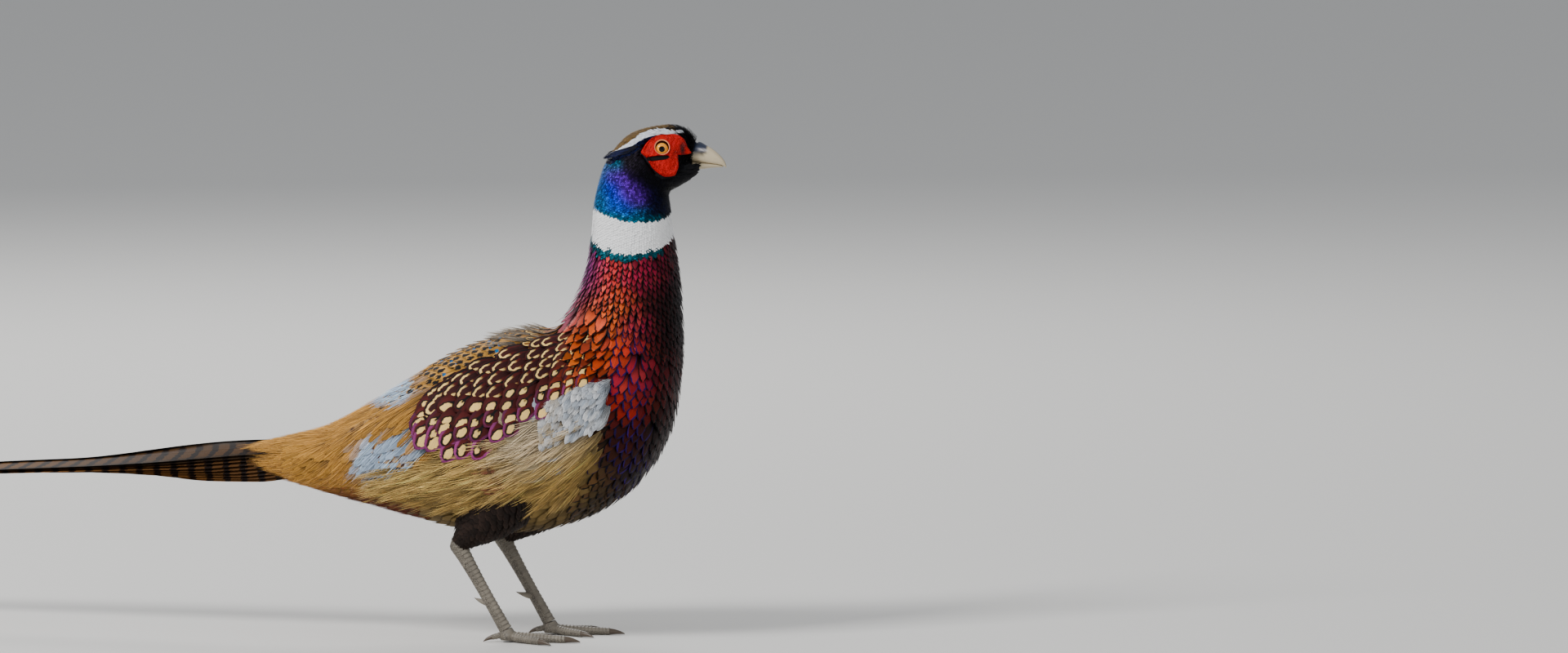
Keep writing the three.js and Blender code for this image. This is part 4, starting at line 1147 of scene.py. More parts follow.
def wings():
    brown = {"ground": rgb(142, 108, 66), "spot": rgb(76, 50, 32), "edge": rgb(164, 126, 76)}
    sandy = {"ground": rgb(140, 104, 64), "spot": rgb(92, 60, 40), "edge": rgb(112, 62, 48)}
    # The lesser coverts' middles are a darker copy of their pale rims: partly their own pale edges, partly
    # painted shade.
    pale = {"ground": WING_BLUE * 0.6, "edge": WING_BLUE}
    cool = {"ground": rgb(132, 118, 92), "edge": rgb(176, 160, 126)}
    for side in SIDES:
        wing_row("primaries", side, 8, ((-62, 130), (-128, 124), 7), ((-66, 150), (-154, 140), 7),
                 -3, 0.4, 0.14, wing_vane, brown, 0.3)
        wing_row("secondaries", side, 14, ((8, 128), (-62, 116), 8.5), ((-24, 172), (-110, 152), 8.5),
                 -4, 3.0, 0.14, wing_vane, brown, 0.25)
        wing_row("greater_coverts", side, 13, ((40, 130), (-12, 118), 8), ((16, 175), (-38, 162), 8),
                 -4, 4.6, 0.14, wing_vane, sandy, 0.4)
        wing_row("median_coverts", side, 11, ((58, 140), (18, 126), 7), ((42, 180), (4, 168), 7),
                 -4, 5.2, 0.14, plain_vane, cool, 0.5)
        wing_row("lesser_coverts", side, 10, ((70, 146), (38, 130), 6), ((60, 186), (28, 176), 6),
                 -3, 4.6, 0.12, plain_vane, pale, 0.6, jitter=3.0, stations=BODY_STATIONS)
        wrist(side)


def wrist(side):
    """Ruffled pale blue coverts at the bend of the wing."""
    count = 240
    f, g = random.random(count), random.random(count)
    ends = np.stack([34 + 43 * f, 145 + 14 * f + (30 + 4 * f) * g], 1)
    order = np.argsort(ends[:, 0] + 1.5 * ends[:, 1])
    ends, f = ends[order], f[order]
    steep = np.radians(50 + 30 * random.random(count))
    length = 14 + 6 * random.random(count)
    roots = ends + np.stack([np.cos(steep), np.sin(steep)], 1) * length[:, None]
    top = np.interp(roots[:, 0], [30, 45, 60, 90], [176, 184, 192, 198])
    roots[:, 1] = np.minimum(roots[:, 1], top)
    lines = chords(roots, ends, side, BODY_STATIONS, -1.0, 4.6 + 2.4 * random.random(count), bow=0.8)
    pale = WING_BLUE + (WHITE - WING_BLUE) * random.random((count, 1))
    pale = pale + (CREAM * 0.8 - pale) * (0.6 * smooth(0.5 - f, 0, 0.4) * random.random(count))[:, None]
    half = 2.1 + 0.7 * random.random(count)
    roll = 0.3 * (random.random(count) - 0.5)
    curl = 0.9 * (random.random(count) - 0.3)[:, None]
    # The middles are a darker copy of the pale rims: partly their own pale edges, partly painted shade.
    feathers(f"wrist_feathers_{WORDS[side]}", lines, half, plain_vane,
             {"ground": pale * 0.6, "edge": pale}, (0.8, 0.2, 0.16), BODY_STATIONS, roll, curl)
    centres, outwards, t, turn = lines
    some = [0, 1, 2, 3, 5]
    down = (centres[:, some] + outwards[:, some] * 0.5, outwards[:, some], t, turn)
    fan_of_hairs(f"wrist_down_{WORDS[side]}", down, 3.0, pale, pale * 1.1, 12, 0.16)


# The lines in side view along which the lowest and the uppermost scapulars end, from the rear forward.
SCAPULAR_LOWER = np.array([(-54, 146), (-26, 136), (6, 151), (36, 170), (62, 188)], float)
SCAPULAR_UPPER = np.array([(-46, 182), (-24, 197), (6, 210), (36, 220), (64, 226)], float)


def scapulars():
    """Maroon, cream-spotted feathers in rows from the lower rear forward and up over the shoulder."""
    rows, count = 12, 7
    for side in SIDES:
        for k in range(rows):
            f = k / (rows - 1)
            place = np.array(f * (len(SCAPULAR_LOWER) - 1))
            lower, upper = through(SCAPULAR_LOWER, place), through(SCAPULAR_UPPER, place)
            g = (np.arange(count) + 0.5 * (k % 2)) / (count - 0.5) + 0.05 * (random.random(count) - 0.5)
            ends = lower + (upper - lower) * g[:, None] + 3.0 * (random.random((count, 2)) - 0.5)
            ends[:, 0] -= 7 * np.sin(np.pi * np.clip(g, 0, 1)) * (1 - f)
            steep = np.radians(50 - 26 * g + 6 * f + 10 * (random.random(count) - 0.5))
            length = 32 - 8 * f
            roots = ends + np.stack([np.cos(steep), np.sin(steep)], 1) * length
            ridge = np.interp(roots[:, 0], [-84, -36, 8, 33, 60, 90], [181, 211, 226, 229, 236, 240])
            roots[:, 1] = np.minimum(roots[:, 1], ridge - 1)
            lift = 8.0 - 2.6 * g - 1.0 * f - 3.0 * smooth(np.array(f), 0.7, 0.95)
            lines = chords(roots, ends, side, BODY_STATIONS, -3.0, lift)
            margin = np.clip(1.5 - 3.4 * g - 1.0 * f, 0, 1)[:, None]
            edge = SCAPULAR_MAROON * 0.6 + (WING_PURPLE - SCAPULAR_MAROON * 0.6) * margin
            shoulder = smooth(np.array(f), 0.72, 1.0)
            ground = SCAPULAR_MAROON + (COPPER * 0.8 - SCAPULAR_MAROON) * shoulder
            tints = {"ground": vary(ground, count, 0.3), "edge": vary(edge, count, 0.3),
                     "spot": vary(CREAM, count, 0.15)}
            half = (8.8 - 2.4 * f) * (1 - 0.14 * g)
            crescent = g + 0.3 * f + 0.3 * (random.random(count) - 0.5) > 0.62
            kinds = (("drop", ~crescent, scapular_vane), ("crescent", crescent, crescent_vane))
            for kind, chosen, vane in kinds:
                if not chosen.any():
                    continue
                feathers(f"scapulars_{WORDS[side]}_{k}_{kind}", keep(chosen, *lines), half[chosen], vane,
                         {key: value[chosen] for key, value in tints.items()}, (0.62, 0.16, 0.25),
                         BODY_STATIONS, 0.1 * side)


def back_down():
    """Loose grey-brown hairs where the shoulder feathers of the two sides meet."""
    t, turn = field(5.0, 3.7, 40, 4.0, 3.4, jitter=0.6)
    top = turn_from_back(turn) < 0.55
    t, turn = t[top], turn[top]
    grey = vary(rgb(150, 136, 118), len(t), 0.35)
    hair_plumes("back_down", t, turn, 17.0, 0.1, 3.0, grey * 0.5, grey, 4.5, per_plume=9, radius=0.2)


# Tail

TAIL_YAW, TAIL_DROOP, TAIL_SAG = 12 * DEGREE, 2.5 * DEGREE, 12
TAIL_ROOT = np.array([TOPS[0][0] - 0.3, 0, 131.5])
TAIL_LENGTHS = [402, 372, 318, 260, 206, 164, 134, 110, 92]
LONG_PAIRS = 3
TAIL_HALF = 13.5
TAIL_HIDDEN = 30  # the length of each tail feather inside the rump
# The roof of the tail at its root and, past the length over which it flattens, at its end: the slope of
# its feathers in degrees, the height from one pair to the next, and the ridge's height.
FLATTENS_OVER = 170
TAIL_SLOPES, TAIL_TIERS, TAIL_RIDGES = (30, 9), (1.9, 1.25), (15, 3)
TAIL_BACK = np.array([
    -math.cos(TAIL_YAW) * math.cos(TAIL_DROOP),
    math.sin(TAIL_YAW) * math.cos(TAIL_DROOP),
    -math.sin(TAIL_DROOP),
])
TAIL_LEFT = np.array([math.sin(TAIL_YAW), math.cos(TAIL_YAW), 0])


def rectrix(pair, side):
    """Centre line, outward directions, half widths and stations of one tail feather."""
    s = np.linspace(0, 1, 36 if pair < LONG_PAIRS else 20)
    distance = s * (TAIL_LENGTHS[pair] + TAIL_HIDDEN) - TAIL_HIDDEN
    flat = smooth(distance, 0, FLATTENS_OVER)
    slope, tier, ridge = (a + (b - a) * flat for a, b in (TAIL_SLOPES, TAIL_TIERS, TAIL_RIDGES))
    slope = (slope + 2.5 * pair * (1 - flat)) * DEGREE
    aside, below, up = side * TAIL_LEFT, np.array([0, 0, -1]), np.array([0, 0, 1])
    across = aside * np.cos(slope)[:, None] + below * np.sin(slope)[:, None]
    above = aside * np.sin(slope)[:, None] + up * np.cos(slope)[:, None]
    taper = 1 - (0.5 if pair < LONG_PAIRS else 0.2) * s
    half = (TAIL_HALF - 0.3 * pair) * taper
    fall = TAIL_SAG * (np.maximum(distance, 0) / TAIL_LENGTHS[0]) ** 2
    overlap = 1.6 if pair == 0 and side > 0 else 0.2
    centre = TAIL_ROOT + TAIL_BACK * (5 + distance)[:, None] + across * (half - overlap)[:, None]
    centre[:, 2] += ridge - tier * pair - fall + (0.5 if side > 0 else 0)
    return centre, above, half, s


def tail():
    colours = {"ground": TAIL_BUFF, "spot": TAIL_DARK, "edge": TAIL_OLIVE}
    for pair in range(len(TAIL_LENGTHS)):
        for side in SIDES:
            centre, above, half, s = rectrix(pair, side)
            tints = {k: vary(c, 1, 0.1) for k, c in colours.items()}
            if pair > 1:
                tints["edge"] = vary(TAIL_RUSTY, 1, 0.1)
            lines = (centre[None], above[None], np.zeros(1), np.full(1, 0.5 + 0.2 * pair))
            feathers(f"tail_feather_{pair}_{WORDS[side]}", lines, half.max(), tail_vane,
                                   tints, (0.5 if pair < LONG_PAIRS else 0.4, 0.05, 0.5), s)
    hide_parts("tail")


def tail_coverts():
    """Long soft feathers over the root of the tail."""
    t, turn = field(0.9, 0.02, 30, 7.0, 5.0)
    ground = vary(RUMP_GOLD * 0.95, len(t), 0.25)
    hair_plumes("tail_covert_hairs", t, turn, 46.0, 0.02, 4.0, ground * 0.8, ground * 1.15, 0.8)


# Head


def eye(side):
    word = WORDS[side]
    low, high = (np.array(c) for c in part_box(f"eye_{word}"))
    middle = (low + high) / 2
    radius = (high - low).max() / 2
    bpy.ops.mesh.primitive_uv_sphere_add(segments=64, ring_count=32, radius=radius, location=middle)
    ball = bpy.context.object
    ball.name = f"eye_{word}_ball"
    outward = twisted(np.array([[TWIST_AXIS, side, 350.0]])) - twisted(np.array([[TWIST_AXIS, 0, 350.0]]))
    axis = Vector(outward[0]).normalized()
    ball.rotation_mode = "QUATERNION"
    ball.rotation_quaternion = axis.to_track_quat("Z", "Y")
    bpy.ops.object.transform_apply(location=False, rotation=False, scale=False)
    bpy.ops.object.shade_smooth()
    shader = Shader(f"eye_{word}", roughness=0.08, specular=0.22)
    place = shader.node("ShaderNodeTexCoord").outputs["Object"]
    parts = shader.node("ShaderNodeSeparateXYZ", (place,))
    squares = [shader.math("POWER", parts.outputs[k], 2.0) for k in (0, 1)]
    away = shader.math("SQRT", shader.plus(*squares))
    iris = shader.mix(shader.noise(1400.0), rgb(206, 110, 14), rgb(248, 176, 50))
    rim = shader.mix(shader.step(away, 0.0041, 0.0046), iris, rgb(24, 8, 4))
    colour = shader.mix(shader.step(away, 0.0021, 0.0023), rgb(3, 3, 4), rim)
    ball.data.materials.append(shader.finish(colour))
    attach(ball, "root")
    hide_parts(f"eye_{word}")


def face_point(angle, reach, lift, side):
    """Points on the side of the head, given round the eye."""
    x = EYE_X + reach * np.cos(angle)
    z = EYE_Z + reach * np.sin(angle)
    points, _out, _t, _turn = on_flank(x, z, lift, side, HEAD_AT, float(BILL_AT))
    return points


def wattle_material():
    """Red skin beaded with small papillae, with painted shade between them."""
    shader = Shader("wattle_skin", roughness=0.55, specular=0.18)
    beads = shader.texture("ShaderNodeTexVoronoi", 950.0)
    gap = shader.step(beads.outputs["Distance"], 0.3, 0.7)
    raised = shader.math("SUBTRACT", 1.0, gap)
    shader.bump(shader.times(raised, shader.attribute("beaded", "Fac")), 0.6, 0.0006)
    # Painted shade in the gaps between the beads, in patches.
    gap_shade = shader.times(gap, shader.step(shader.noise(260.0), 0.3, 0.8))
    ground = shader.attribute("ground")
    return shader.finish(shader.mix(gap_shade, ground, shader.dimmed(ground, 0.25)))


def wattle(side):
    """Bare red skin: a rolled outer rim, beads all over, a dark slit under the eye."""
    angles, shares = 220, 46
    angle = np.linspace(-np.pi, np.pi, angles, endpoint=False)
    share = np.linspace(0, 1, shares)
    grid_a, grid_s = np.meshgrid(angle, share)
    reach = LID + (wattle_reach(np.degrees(grid_a)) - LID) * grid_s
    x, z = EYE_X + reach * np.cos(grid_a), EYE_Z + reach * np.sin(grid_a)
    rim = np.exp(-(((grid_s - 0.86) / 0.1) ** 2)) * 1.1
    base = 1.2 * np.sqrt(np.clip((1 - grid_s) * 6, 0, 1)) + rim
    beads = np.sin(x * 5.2 + 1.3 * np.sin(z * 2.1)) * np.sin(z * 5.6 + 1.1 * np.sin(x * 1.9))
    folds = np.sin(x * 1.3 + z * 0.9) * np.sin(z * 1.5 - x * 0.5)
    slit_ahead, slit_up = (x - 113) / 9.4, (z - 357.4 - 0.1 * (x - 113)) / 1.9
    slit = 1 - smooth(slit_ahead**4 + slit_up**2, 0.5, 1.1)
    height = base + (0.24 * beads + 0.2 * folds * np.clip((1 - grid_s) * 4, 0, 1)) * (1 - slit) - 1.5 * slit
    height = np.where(grid_s > 0.98, -0.6, height)
    height = np.where(grid_s == 0, -4.0, height)
    outer = face_point(grid_a, reach, height, side)
    inward = reach[::-1][:4] * np.linspace(1, 0.9, 4)[:, None]
    inner = face_point(grid_a[::-1][:4], inward, np.full((4, angles), -1.2), side)
    points, faces = closed_tube(np.concatenate([outer, inner]))
    # Painted shade between the papillae: the red darkens where the beads sink.
    tone = np.clip(0.5 + 0.5 * beads, 0, 1)
    colour = WATTLE_GAP_SHADE + (WATTLE_RED - WATTLE_GAP_SHADE) * (0.7 + 0.3 * tone)[..., None]
    # Painted shadow on the lores, ahead of the eye; the slit under the eye is darkened with it.
    lore_shade = np.maximum(0.95 * mound(x, z, 131, 363.5, 2.4, 6.5), 0.45 * mound(x, z, 126.5, 361, 4.5, 8))
    shadow = np.clip(np.maximum(slit * 1.5, lore_shade), 0, 1)[..., None]
    colour = colour * (1 - shadow) + BLACK * 0.2 * shadow
    tones = np.concatenate([colour, (1 - slit)[..., None]], -1).reshape(-1, 4)
    tones = np.concatenate([tones[:angles], tones, np.tile(tones[-angles:], (5, 1))])
    piece = make(f"wattle_{WORDS[side]}_skin", points, faces, wattle_material(), None,
                 {"ground": tones[:, :3]}, {"beaded": tones[:, 3]})
    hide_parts(f"wattle_{WORDS[side]}")


def lid(side):
    """The pale ring of the eyelids."""
    around, sides = 72, 14
    angle = np.linspace(0, 2 * np.pi, around + 1)
    turn = np.arange(sides) * 2 * np.pi / sides
    grid_a, grid_t = np.meshgrid(angle, turn, indexing="ij")
    folds = 1 + 0.12 * np.sin(grid_a * 24)
    reach = LID + 0.35 + 0.5 * folds * np.cos(grid_t) - 0.3 * np.sin(grid_a) ** 2
    lift = 1.4 + 0.6 * folds * np.sin(grid_t)
    rings = face_point(grid_a, reach, lift, side)
    faces = tube_faces(around + 1, sides)
    outer = smooth(np.cos(grid_t), -0.6, 0.3)[..., None]
    colours = (LID_PINK * (1 - outer) + WATTLE_RED * 0.7 * outer).reshape(-1, 3)
    shader = Shader("eyelid", roughness=0.5)
    make(f"eyelid_{WORDS[side]}", rings.reshape(-1, 3), faces if side > 0 else faces[:, ::-1],
         shader.finish(shader.attribute("ground")), None, {"ground": colours})


# Each half of the bill in steps towards its tip: x, top, under side and half width.
UPPER_BILL = np.array([
    (132, 364, 354, 6.2), (142, 368.4, 353.2, 7), (149, 365.6, 352.3, 5.9), (155, 361.8, 351.6, 4.7),
    (160, 357.2, 350.8, 3.2), (162.6, 353.6, 349.8, 1.9), (163.6, 350.8, 348.4, 0.7),
])
LOWER_BILL = np.array([
    (132, 353.8, 349.4, 5.6), (144, 353.2, 348, 5.6), (151, 352.3, 348.7, 4.4), (157, 351.5, 349.3, 2.9),
    (161.4, 350.4, 349.5, 1.2),
])


def bill_material(name):
    shader = Shader(name, roughness=0.36, specular=0.5)
    shader.bump(shader.noise(500.0, 4.0), 0.15, 0.0004)
    return shader.finish(shader.attribute("ground"))


def mandible(profile, steps, sides, below, above):
    """Rings of one half of the bill. below and above are powers that flatten its two faces when under 1."""
    x, top, under, half = through(profile, np.linspace(0, len(profile) - 1, steps)).T
    turn = np.arange(sides) * 2 * np.pi / sides
    up = np.cos(turn)
    up = np.where(up < 0, -(np.abs(up) ** below), np.abs(up) ** above)
    wide = np.sign(np.sin(turn)) * np.abs(np.sin(turn)) ** 0.85
    z = ((top + under) / 2)[:, None] + ((top - under) / 2)[:, None] * up
    return np.stack([np.broadcast_to(x[:, None], z.shape), half[:, None] * wide, z], -1)


def bill():
    sides = 36
    material = bill_material("bill_horn")
    rings = mandible(UPPER_BILL, 44, sides, 0.5, 1)
    x, z = rings[..., 0], rings[..., 2]
    flap, slit = mound(x, z, 145, 363, 4.2, 1.9), mound(x, z, 146, 360.3, 3.2, 0.8)
    rings[..., 1] *= 1 + 0.13 * flap - 0.16 * slit
    points, faces = closed_tube(rings)
    soft = smooth(151.5 - x - (369 - z) * 0.25, 0, 1.6) * smooth(z, 359.8, 361.2)
    middle = (z[:, :1] + z[:, sides // 2:sides // 2 + 1]) / 2
    ridge = np.exp(-((rings[..., 1] / 1.6) ** 2)) * (z > middle)
    colour = HORN * (1 - 0.5 * ridge[..., None]) * (1 - 0.25 * smooth(146 - x, 0, 6))[..., None]
    colour = colour * (1 - soft[..., None]) + CERE * soft[..., None]
    pale = np.exp(-(((x - 146.4) / 3.4) ** 4 + ((z - 362.6 + 0.1 * (x - 146)) / 0.8) ** 2))[..., None]
    colour = colour * (1 - 0.9 * pale) + NOSTRIL_PALE * 0.9 * pale
    # The nostril's slit is darkened: painted shade in the opening.
    flat = (colour * (1 - 0.9 * slit[..., None])).reshape(-1, 3)
    colours = np.concatenate([flat[:sides], flat, flat[-sides:]])
    piece = make("bill_upper_horn", points, faces, material, None, {"ground": colours})
    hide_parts("bill_upper")
    points, faces = closed_tube(mandible(LOWER_BILL, 28, sides, 1, 0.3))
    piece = make("bill_lower_horn", points, faces, material, None, {"ground": HORN * 0.8})
    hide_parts("bill_lower")


def bristles():
    """Short black feathers that stand over the root of the bill, and the lores' tiny ones."""
    t, turn = field(BILL_AT - 0.02, BILL_AT - 0.75, 40, 1.1, 1.1)
    kept = off_the_face(body(t, turn), 0.2)
    t, turn = t[kept], turn[kept]
    points, outward = plumage(t, turn, -0.6)
    ahead = np.array([0.15, 0, 0.1])
    s = SMALL_STATIONS[None, :, None]
    lean = unit(outward + ahead)
    length = np.where(turn_from_back(turn) < 1.0, 4.4, 1.8)[:, None, None]
    centres = points[:, None] + lean[:, None] * length * s + np.array([-1.0, 0, 0]) * length * 0.5 * s**2
    outwards = np.broadcast_to(outward[:, None], centres.shape)
    colour = vary(GLOSS_BLACK, len(t), 0.3)
    feathers("bill_bristles", (centres, outwards, t, turn), 0.5, plain_vane,
             {"ground": colour, "edge": colour}, (0.9, 0.1, 0.12), SMALL_STATIONS)


def chin():
    """Black feathers that reach forward under and beside the lower mandible."""
    t, turn = field(11.6, 15.4, 90, 1.3, 1.2)
    roots, outward = plumage(t, turn, -0.4)
    count = len(t)
    ends = np.stack([
        roots[:, 0] + 5 + 3 * random.random(count),
        roots[:, 1] * 0.82,
        roots[:, 2] + 1.0 + 1.5 * random.random(count),
    ], 1)
    profile = np.interp(ends[:, 2], [330, 335.7, 344.7, 351.3], [121, 128, 142.6, 148])
    inset = 0.25 * np.abs(roots[:, 1]) + 1.6 * random.random(count)
    ends[:, 0] = np.minimum(ends[:, 0], profile - inset)
    low = (turn_from_back(turn) > 1.8) & (roots[:, 2] < 351) & (ends[:, 0] > roots[:, 0] + 1.2)
    t, turn, roots, outward, ends = keep(low, t, turn, roots, outward, ends)
    s = SMALL_STATIONS[None, :, None]
    centres = roots[:, None] + (ends - roots)[:, None] * s + outward[:, None] * 0.9 * np.sin(np.pi * 0.8 * s)
    outwards = np.broadcast_to(outward[:, None], centres.shape)
    colour = vary(GLOSS_BLACK, len(t), 0.3)
    feathers("chin_feathers", (centres, outwards, t, turn), 0.8, plain_vane,
             {"ground": colour, "edge": colour}, (0.8, 0.15, 0.12), SMALL_STATIONS)


def ear_tufts():
    """Pointed blue-black feathers behind the brow that reach past the nape."""
    for side in SIDES:
        count = 26
        f = np.linspace(0, 1, count)
        roots = np.stack([104 - 10 * f + random.random(count), 367.5 - 5 * f + random.random(count)], 1)
        ends_x = 80 - 5.5 * f + random.random(count)
        ends = np.stack([ends_x, 358.5 - 4.5 * f + 1.5 * random.random(count)], 1)
        s = SMALL_STATIONS[None, :]
        x, z = between(roots, ends, s)
        centres, outwards, t, turn = on_flank(x, z, 0.2 + 2.2 * s, side, HEAD_AT, float(BILL_AT))
        colour = vary(NIGHT_BLUE, count, 0.3)
        feathers(f"ear_tuft_{WORDS[side]}", (centres, outwards, t[:, 0], turn[:, 0]), 1.3, neck_vane,
                 {"ground": colour, "edge": colour * 0.4}, (0.8, 0.15, 0.2), SMALL_STATIONS)


# Legs

# Each toe's direction in degrees, outwards from ahead, its length, its radius and its number of scutes.
TOES = {
    "middle": (3, 43, 3.9, 16),
    "inner": (-33, 30, 3.6, 12),
    "outer": (36, 33, 3.6, 13),
    "hind": (172, 12, 2.9, 5),
}
CLAW_LENGTH = 11
SPUR_STEPS = 12


def scaly_tube(path, radii, scutes, rise, sides=28, flat=1.0, front_turn=0.0):
    """A closed tube with overlapping plates: a sawtooth rise along it, strongest on its front.

    Returns points, faces, and for each point the tone of its grooves and how far big plates cover it.
    """
    steps = scutes * 6
    s = np.linspace(0, 1, steps)
    shares = np.linspace(0, 1, len(path))
    centre = np.stack([np.interp(s, shares, np.array(path)[:, k]) for k in range(3)], 1)
    radius = np.interp(s, shares, radii)
    rings = limb_rings(centre, radius, sides, flat)
    saw = (s * scutes + 0.02) % 1.0
    turn = np.arange(sides) * 2 * np.pi / sides
    front = 0.5 + 0.5 * np.cos(turn - front_turn)
    lift = radius[:, None] * rise * (saw**1.5)[:, None] * (0.25 + 0.75 * front[None, :])
    outward = unit(rings - centre[:, None])
    covered = smooth(front, 0.45, 0.7)
    groove = (1 - smooth(saw, 0, 0.22))[:, None] * covered[None, :]
    plate = np.stack([1 - 0.6 * groove, np.broadcast_to(covered, groove.shape)], -1)
    points, faces = closed_tube(rings + outward * lift[..., None])
    return points, faces, np.concatenate([plate[:1], plate, plate[-1:]]).reshape(-1, 2)


def leg_material():
    shader = Shader("leg_scales", roughness=0.5, specular=0.3)
    cells = shader.texture("ShaderNodeTexVoronoi", 800.0, feature="DISTANCE_TO_EDGE")
    groove = shader.step(cells.outputs["Distance"], 0.02, 0.16)
    groove = shader.math("MAXIMUM", groove, shader.attribute("plates", "Fac"))
    shader.bump(groove, 0.35, 0.0003)
    tone = shader.mix(shader.noise(120.0), LEG_DARK, LEG_GREY)
    tone = shader.mix(groove, LEG_DARK * 0.6, tone)
    return shader.finish(shader.mix(shader.attribute("groove", "Fac"), LEG_DARK * 0.35, tone))


def toe_place(side, toe, s):
    """Points along a toe's middle line, at shares s of its length."""
    turn, length, _thick, _scutes = TOES[toe]
    heading = side * turn * DEGREE
    s = np.asarray(s, float)
    height = 6.5 - 3 * s if toe == "hind" else 2.6 + 1.8 * (1 - s) ** 2
    out = length * s
    foot = leg_points(side)["foot"]
    return np.stack([foot[0] + out * np.cos(heading), foot[1] + out * np.sin(heading), height], -1)


def legs():
    material = leg_material()
    for side in SIDES:
        word = WORDS[side]
        spots = leg_points(side)
        knee, hock, ankle = spots["knee"], spots["hock"], spots["ankle"]
        s = np.linspace(0, 1, 9)
        path = [knee + (hock - knee) * 0.9, hock] + [hock + (ankle - hock) * k for k in s[1:]]
        radii = [5.2, 6.4] + [4.1 + 1.9 * (1 - k) ** 3 + 0.6 * k**4 for k in s[1:]]
        points, faces, plate = scaly_tube(path, radii, 24, 0.12, flat=0.82, front_turn=np.pi)
        spur_root = hock + (ankle - hock) * 0.68
        bend = np.linspace(0, 1, SPUR_STEPS)
        spur = spur_root + np.stack([-13 * bend, -side * 5 * bend, 3 * bend * bend], 1)
        spur_radii = 3.1 * (1 - np.linspace(0, 0.97, SPUR_STEPS) ** 1.4)
        horn, horn_faces = closed_tube(limb_rings(spur, spur_radii, 16))
        faces = np.concatenate([faces, horn_faces + len(points)])
        plate = np.concatenate([plate, np.ones((len(horn), 2))])
        shank = make(f"shank_{word}_scales", np.concatenate([points, horn]), faces, material,
                     numbers={"groove": plate[:, 0], "plates": plate[:, 1]})
        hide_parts(f"shank_{word}")
        foot(side, word, material)


def foot(side, word, material):
    spots = leg_points(side)
    hub_path = np.array([spots["foot"] + (0, 0, 1.4), spots["foot"] + (0, 0, 4), spots["ankle"]])
    tubes = [scaly_tube(hub_path, [5.6, 6.4, 4.6], 3, 0.06)]
    for toe, (_turn, _length, thick, scutes) in TOES.items():
        s = np.linspace(0, 1, 24)
        radii = thick * (1 - 0.32 * s) * 0.94
        tubes.append(scaly_tube(toe_place(side, toe, s), radii, scutes, 0.16, sides=22, front_turn=np.pi))
        claw(side, word, toe)
    firsts = np.cumsum([0] + [len(points) for points, _faces, _plate in tubes[:-1]])
    whole = np.concatenate([points for points, _faces, _plate in tubes])
    whole[:, 2] = np.maximum(whole[:, 2], 0.02)
    faces = np.concatenate([faces + first for first, (_points, faces, _plate) in zip(firsts, tubes)])
    plate = np.concatenate([plate for _points, _faces, plate in tubes])
    piece = make(f"foot_{word}_scales", whole, faces, material,
                 numbers={"groove": plate[:, 0], "plates": plate[:, 1]})
    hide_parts(f"foot_{word}")


def claw(side, word, toe):
    _turn, _length, thick, _scutes = TOES[toe]
    tip, before = toe_place(side, toe, 1.0), toe_place(side, toe, 0.95)
    ahead = (tip - before) / np.linalg.norm(tip - before)
    s = np.linspace(-0.12, 1, 20)
    length = CLAW_LENGTH * (0.6 if toe == "hind" else 1)
    path = tip + ahead * (length * s)[:, None]
    path[:, 2] -= 1.6 * np.clip(s, 0, 1) ** 2
    radius = thick * 0.62 * np.clip(1 - s, 0.06, 1) ** 0.6
    points, faces = closed_tube(limb_rings(path, radius, 16))
    points[:, 2] = np.maximum(points[:, 2], 0.3)
    shader = Shader("claw", roughness=0.4)
    piece = make(f"claw_{toe}_{word}_horn", points, faces, shader.finish(CLAW_BROWN))
    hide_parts(f"claw_{toe}_{word}")


def thigh_feathers():
    rows, columns = 17, 26
    for side in SIDES:
        k, j = (v.ravel() for v in np.meshgrid(np.arange(rows), np.arange(columns), indexing="ij"))
        count = len(k)
        share = k / rows * 0.94 - 0.06 + 0.02 * random.random(count)
        turn = (j + 0.5 * (k % 2) + 0.3 * random.random(count)) * 2 * np.pi / columns
        s = SMALL_STATIONS[None, :]
        grid = np.clip(share[:, None] + 0.15 * s, -0.1, 1.0)
        lift = -1.6 + (2.2 + 0.8 * random.random(count))[:, None] * s
        lines = thigh_ring(side, grid, np.broadcast_to(turn[:, None], grid.shape), lift)
        colour = vary(BELLY * 1.3, count, 0.45)
        radius = np.interp(share, THIGH_SHARES, THIGH_RADII)
        feathers(f"thigh_feathers_{WORDS[side]}", (*lines, np.full(count, 3.5), turn), radius * 0.2,
                 plain_vane, {"ground": colour, "edge": colour * 1.5}, (0.7, 0.2, 0.16),
                 SMALL_STATIONS)


# The room: floor, light and camera

PHOTO_WIDTH, PHOTO_HEIGHT = 1920, 800
PHOTO_SCALE = 0.6  # millimetres for each pixel of the photograph
PHOTO_BILL_TIP = (889, 203)
BILL_TIP = np.array([163.4, 0, 350.5])
VIEW_AZIMUTH, VIEW_ELEVATION = 8 * DEGREE, 5 * DEGREE
LENS = 300


def floor():
    material = Shader("floor", roughness=0.9, specular=0.1).finish(rgb(214, 212, 208))
    bpy.ops.mesh.primitive_plane_add(size=40)
    plane = bpy.context.object
    plane.name = "floor"
    plane.data.materials.append(material)


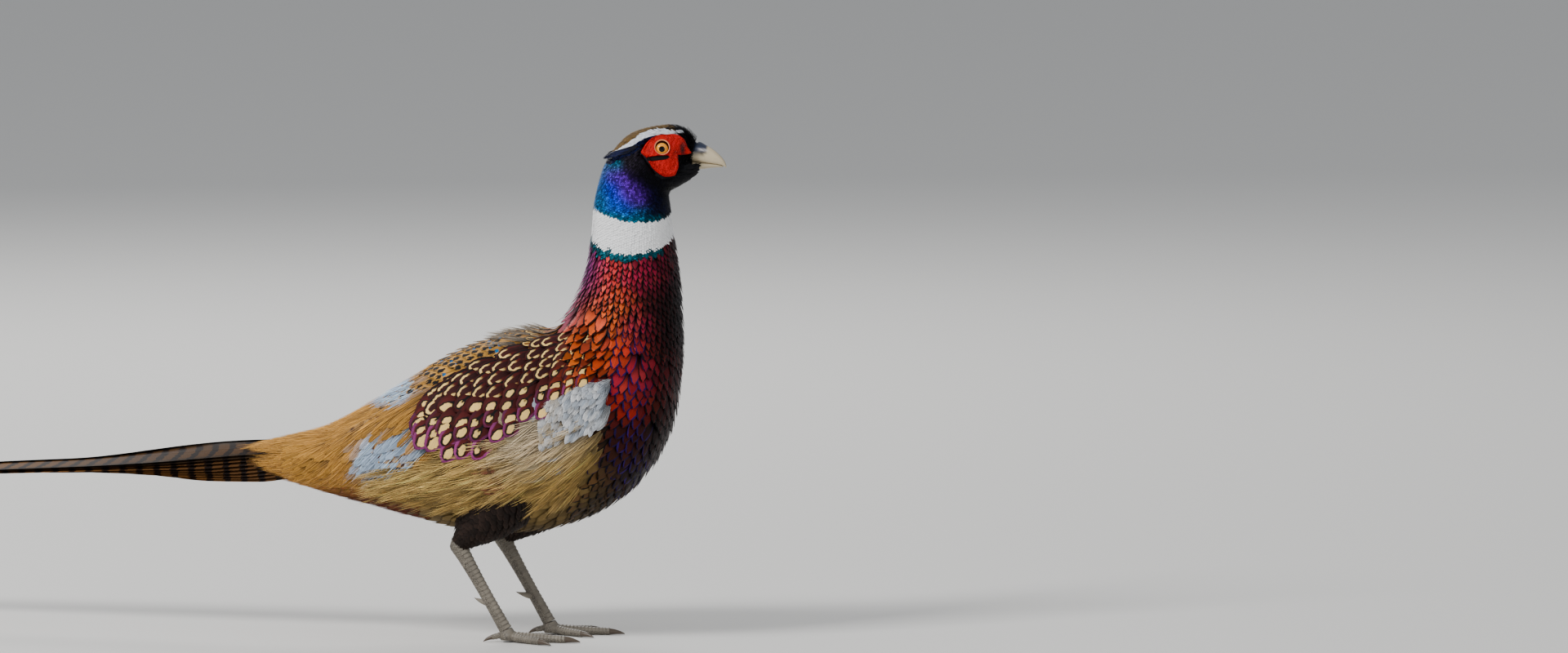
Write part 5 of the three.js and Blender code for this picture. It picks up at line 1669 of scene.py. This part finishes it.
def lights():
    for name, place, size, power in (
        ("key", (-1.7, -2.2, 2.5), 1.1, 150),
        ("fill", (2.6, -2.2, 1.4), 2.2, 20),
        ("rim", (-0.8, 2.6, 2.2), 1.6, 60),
    ):
        data = bpy.data.lights.new(name, "AREA")
        data.size = size
        data.energy = power
        lamp = bpy.data.objects.new(name, data)
        lamp.location = place
        lamp.rotation_mode = "QUATERNION"
        lamp.rotation_quaternion = (Vector((0, 0, 0.2)) - Vector(place)).to_track_quat("-Z", "Y")
        bpy.context.scene.collection.objects.link(lamp)
    world = bpy.data.worlds.new("studio")
    world.use_nodes = True
    world.node_tree.nodes["Background"].inputs["Color"].default_value = (0.9, 0.94, 1.0, 1)
    world.node_tree.nodes["Background"].inputs["Strength"].default_value = 0.5
    bpy.context.scene.world = world


def camera():
    a, e = VIEW_AZIMUTH, VIEW_ELEVATION
    right = Vector((math.cos(a), math.sin(a), 0))
    up = Vector((-math.sin(a) * math.sin(e), math.cos(a) * math.sin(e), math.cos(e)))
    back = Vector((math.sin(a) * math.cos(e), -math.cos(a) * math.cos(e), math.sin(e)))
    tip = Vector(to_frame(BILL_TIP))
    pixel = PHOTO_SCALE * MM
    aside, below = PHOTO_WIDTH / 2 - PHOTO_BILL_TIP[0], PHOTO_HEIGHT / 2 - PHOTO_BILL_TIP[1]
    aim = tip + right * aside * pixel - up * below * pixel
    data = bpy.data.cameras.new("camera")
    data.lens = LENS
    data.sensor_width = 36
    distance = PHOTO_WIDTH * pixel * LENS / data.sensor_width
    made = bpy.data.objects.new("camera", data)
    made.location = aim + back * distance
    made.rotation_mode = "QUATERNION"
    made.rotation_quaternion = (-back).to_track_quat("-Z", "Y")
    data.clip_end = 100
    bpy.context.scene.collection.objects.link(made)
    bpy.context.scene.camera = made


skin()
tail()
tail_coverts()
rump_plumes()
torso_feathers()
wings()
flank_plumes()
scapulars()
back_down()
breast_feathers()
neck_feathers()
head_feathers()
thigh_feathers()
legs()
bill()
bristles()
chin()
ear_tufts()
for side in SIDES:
    eye(side)
    wattle(side)
    lid(side)
floor()
lights()
camera()
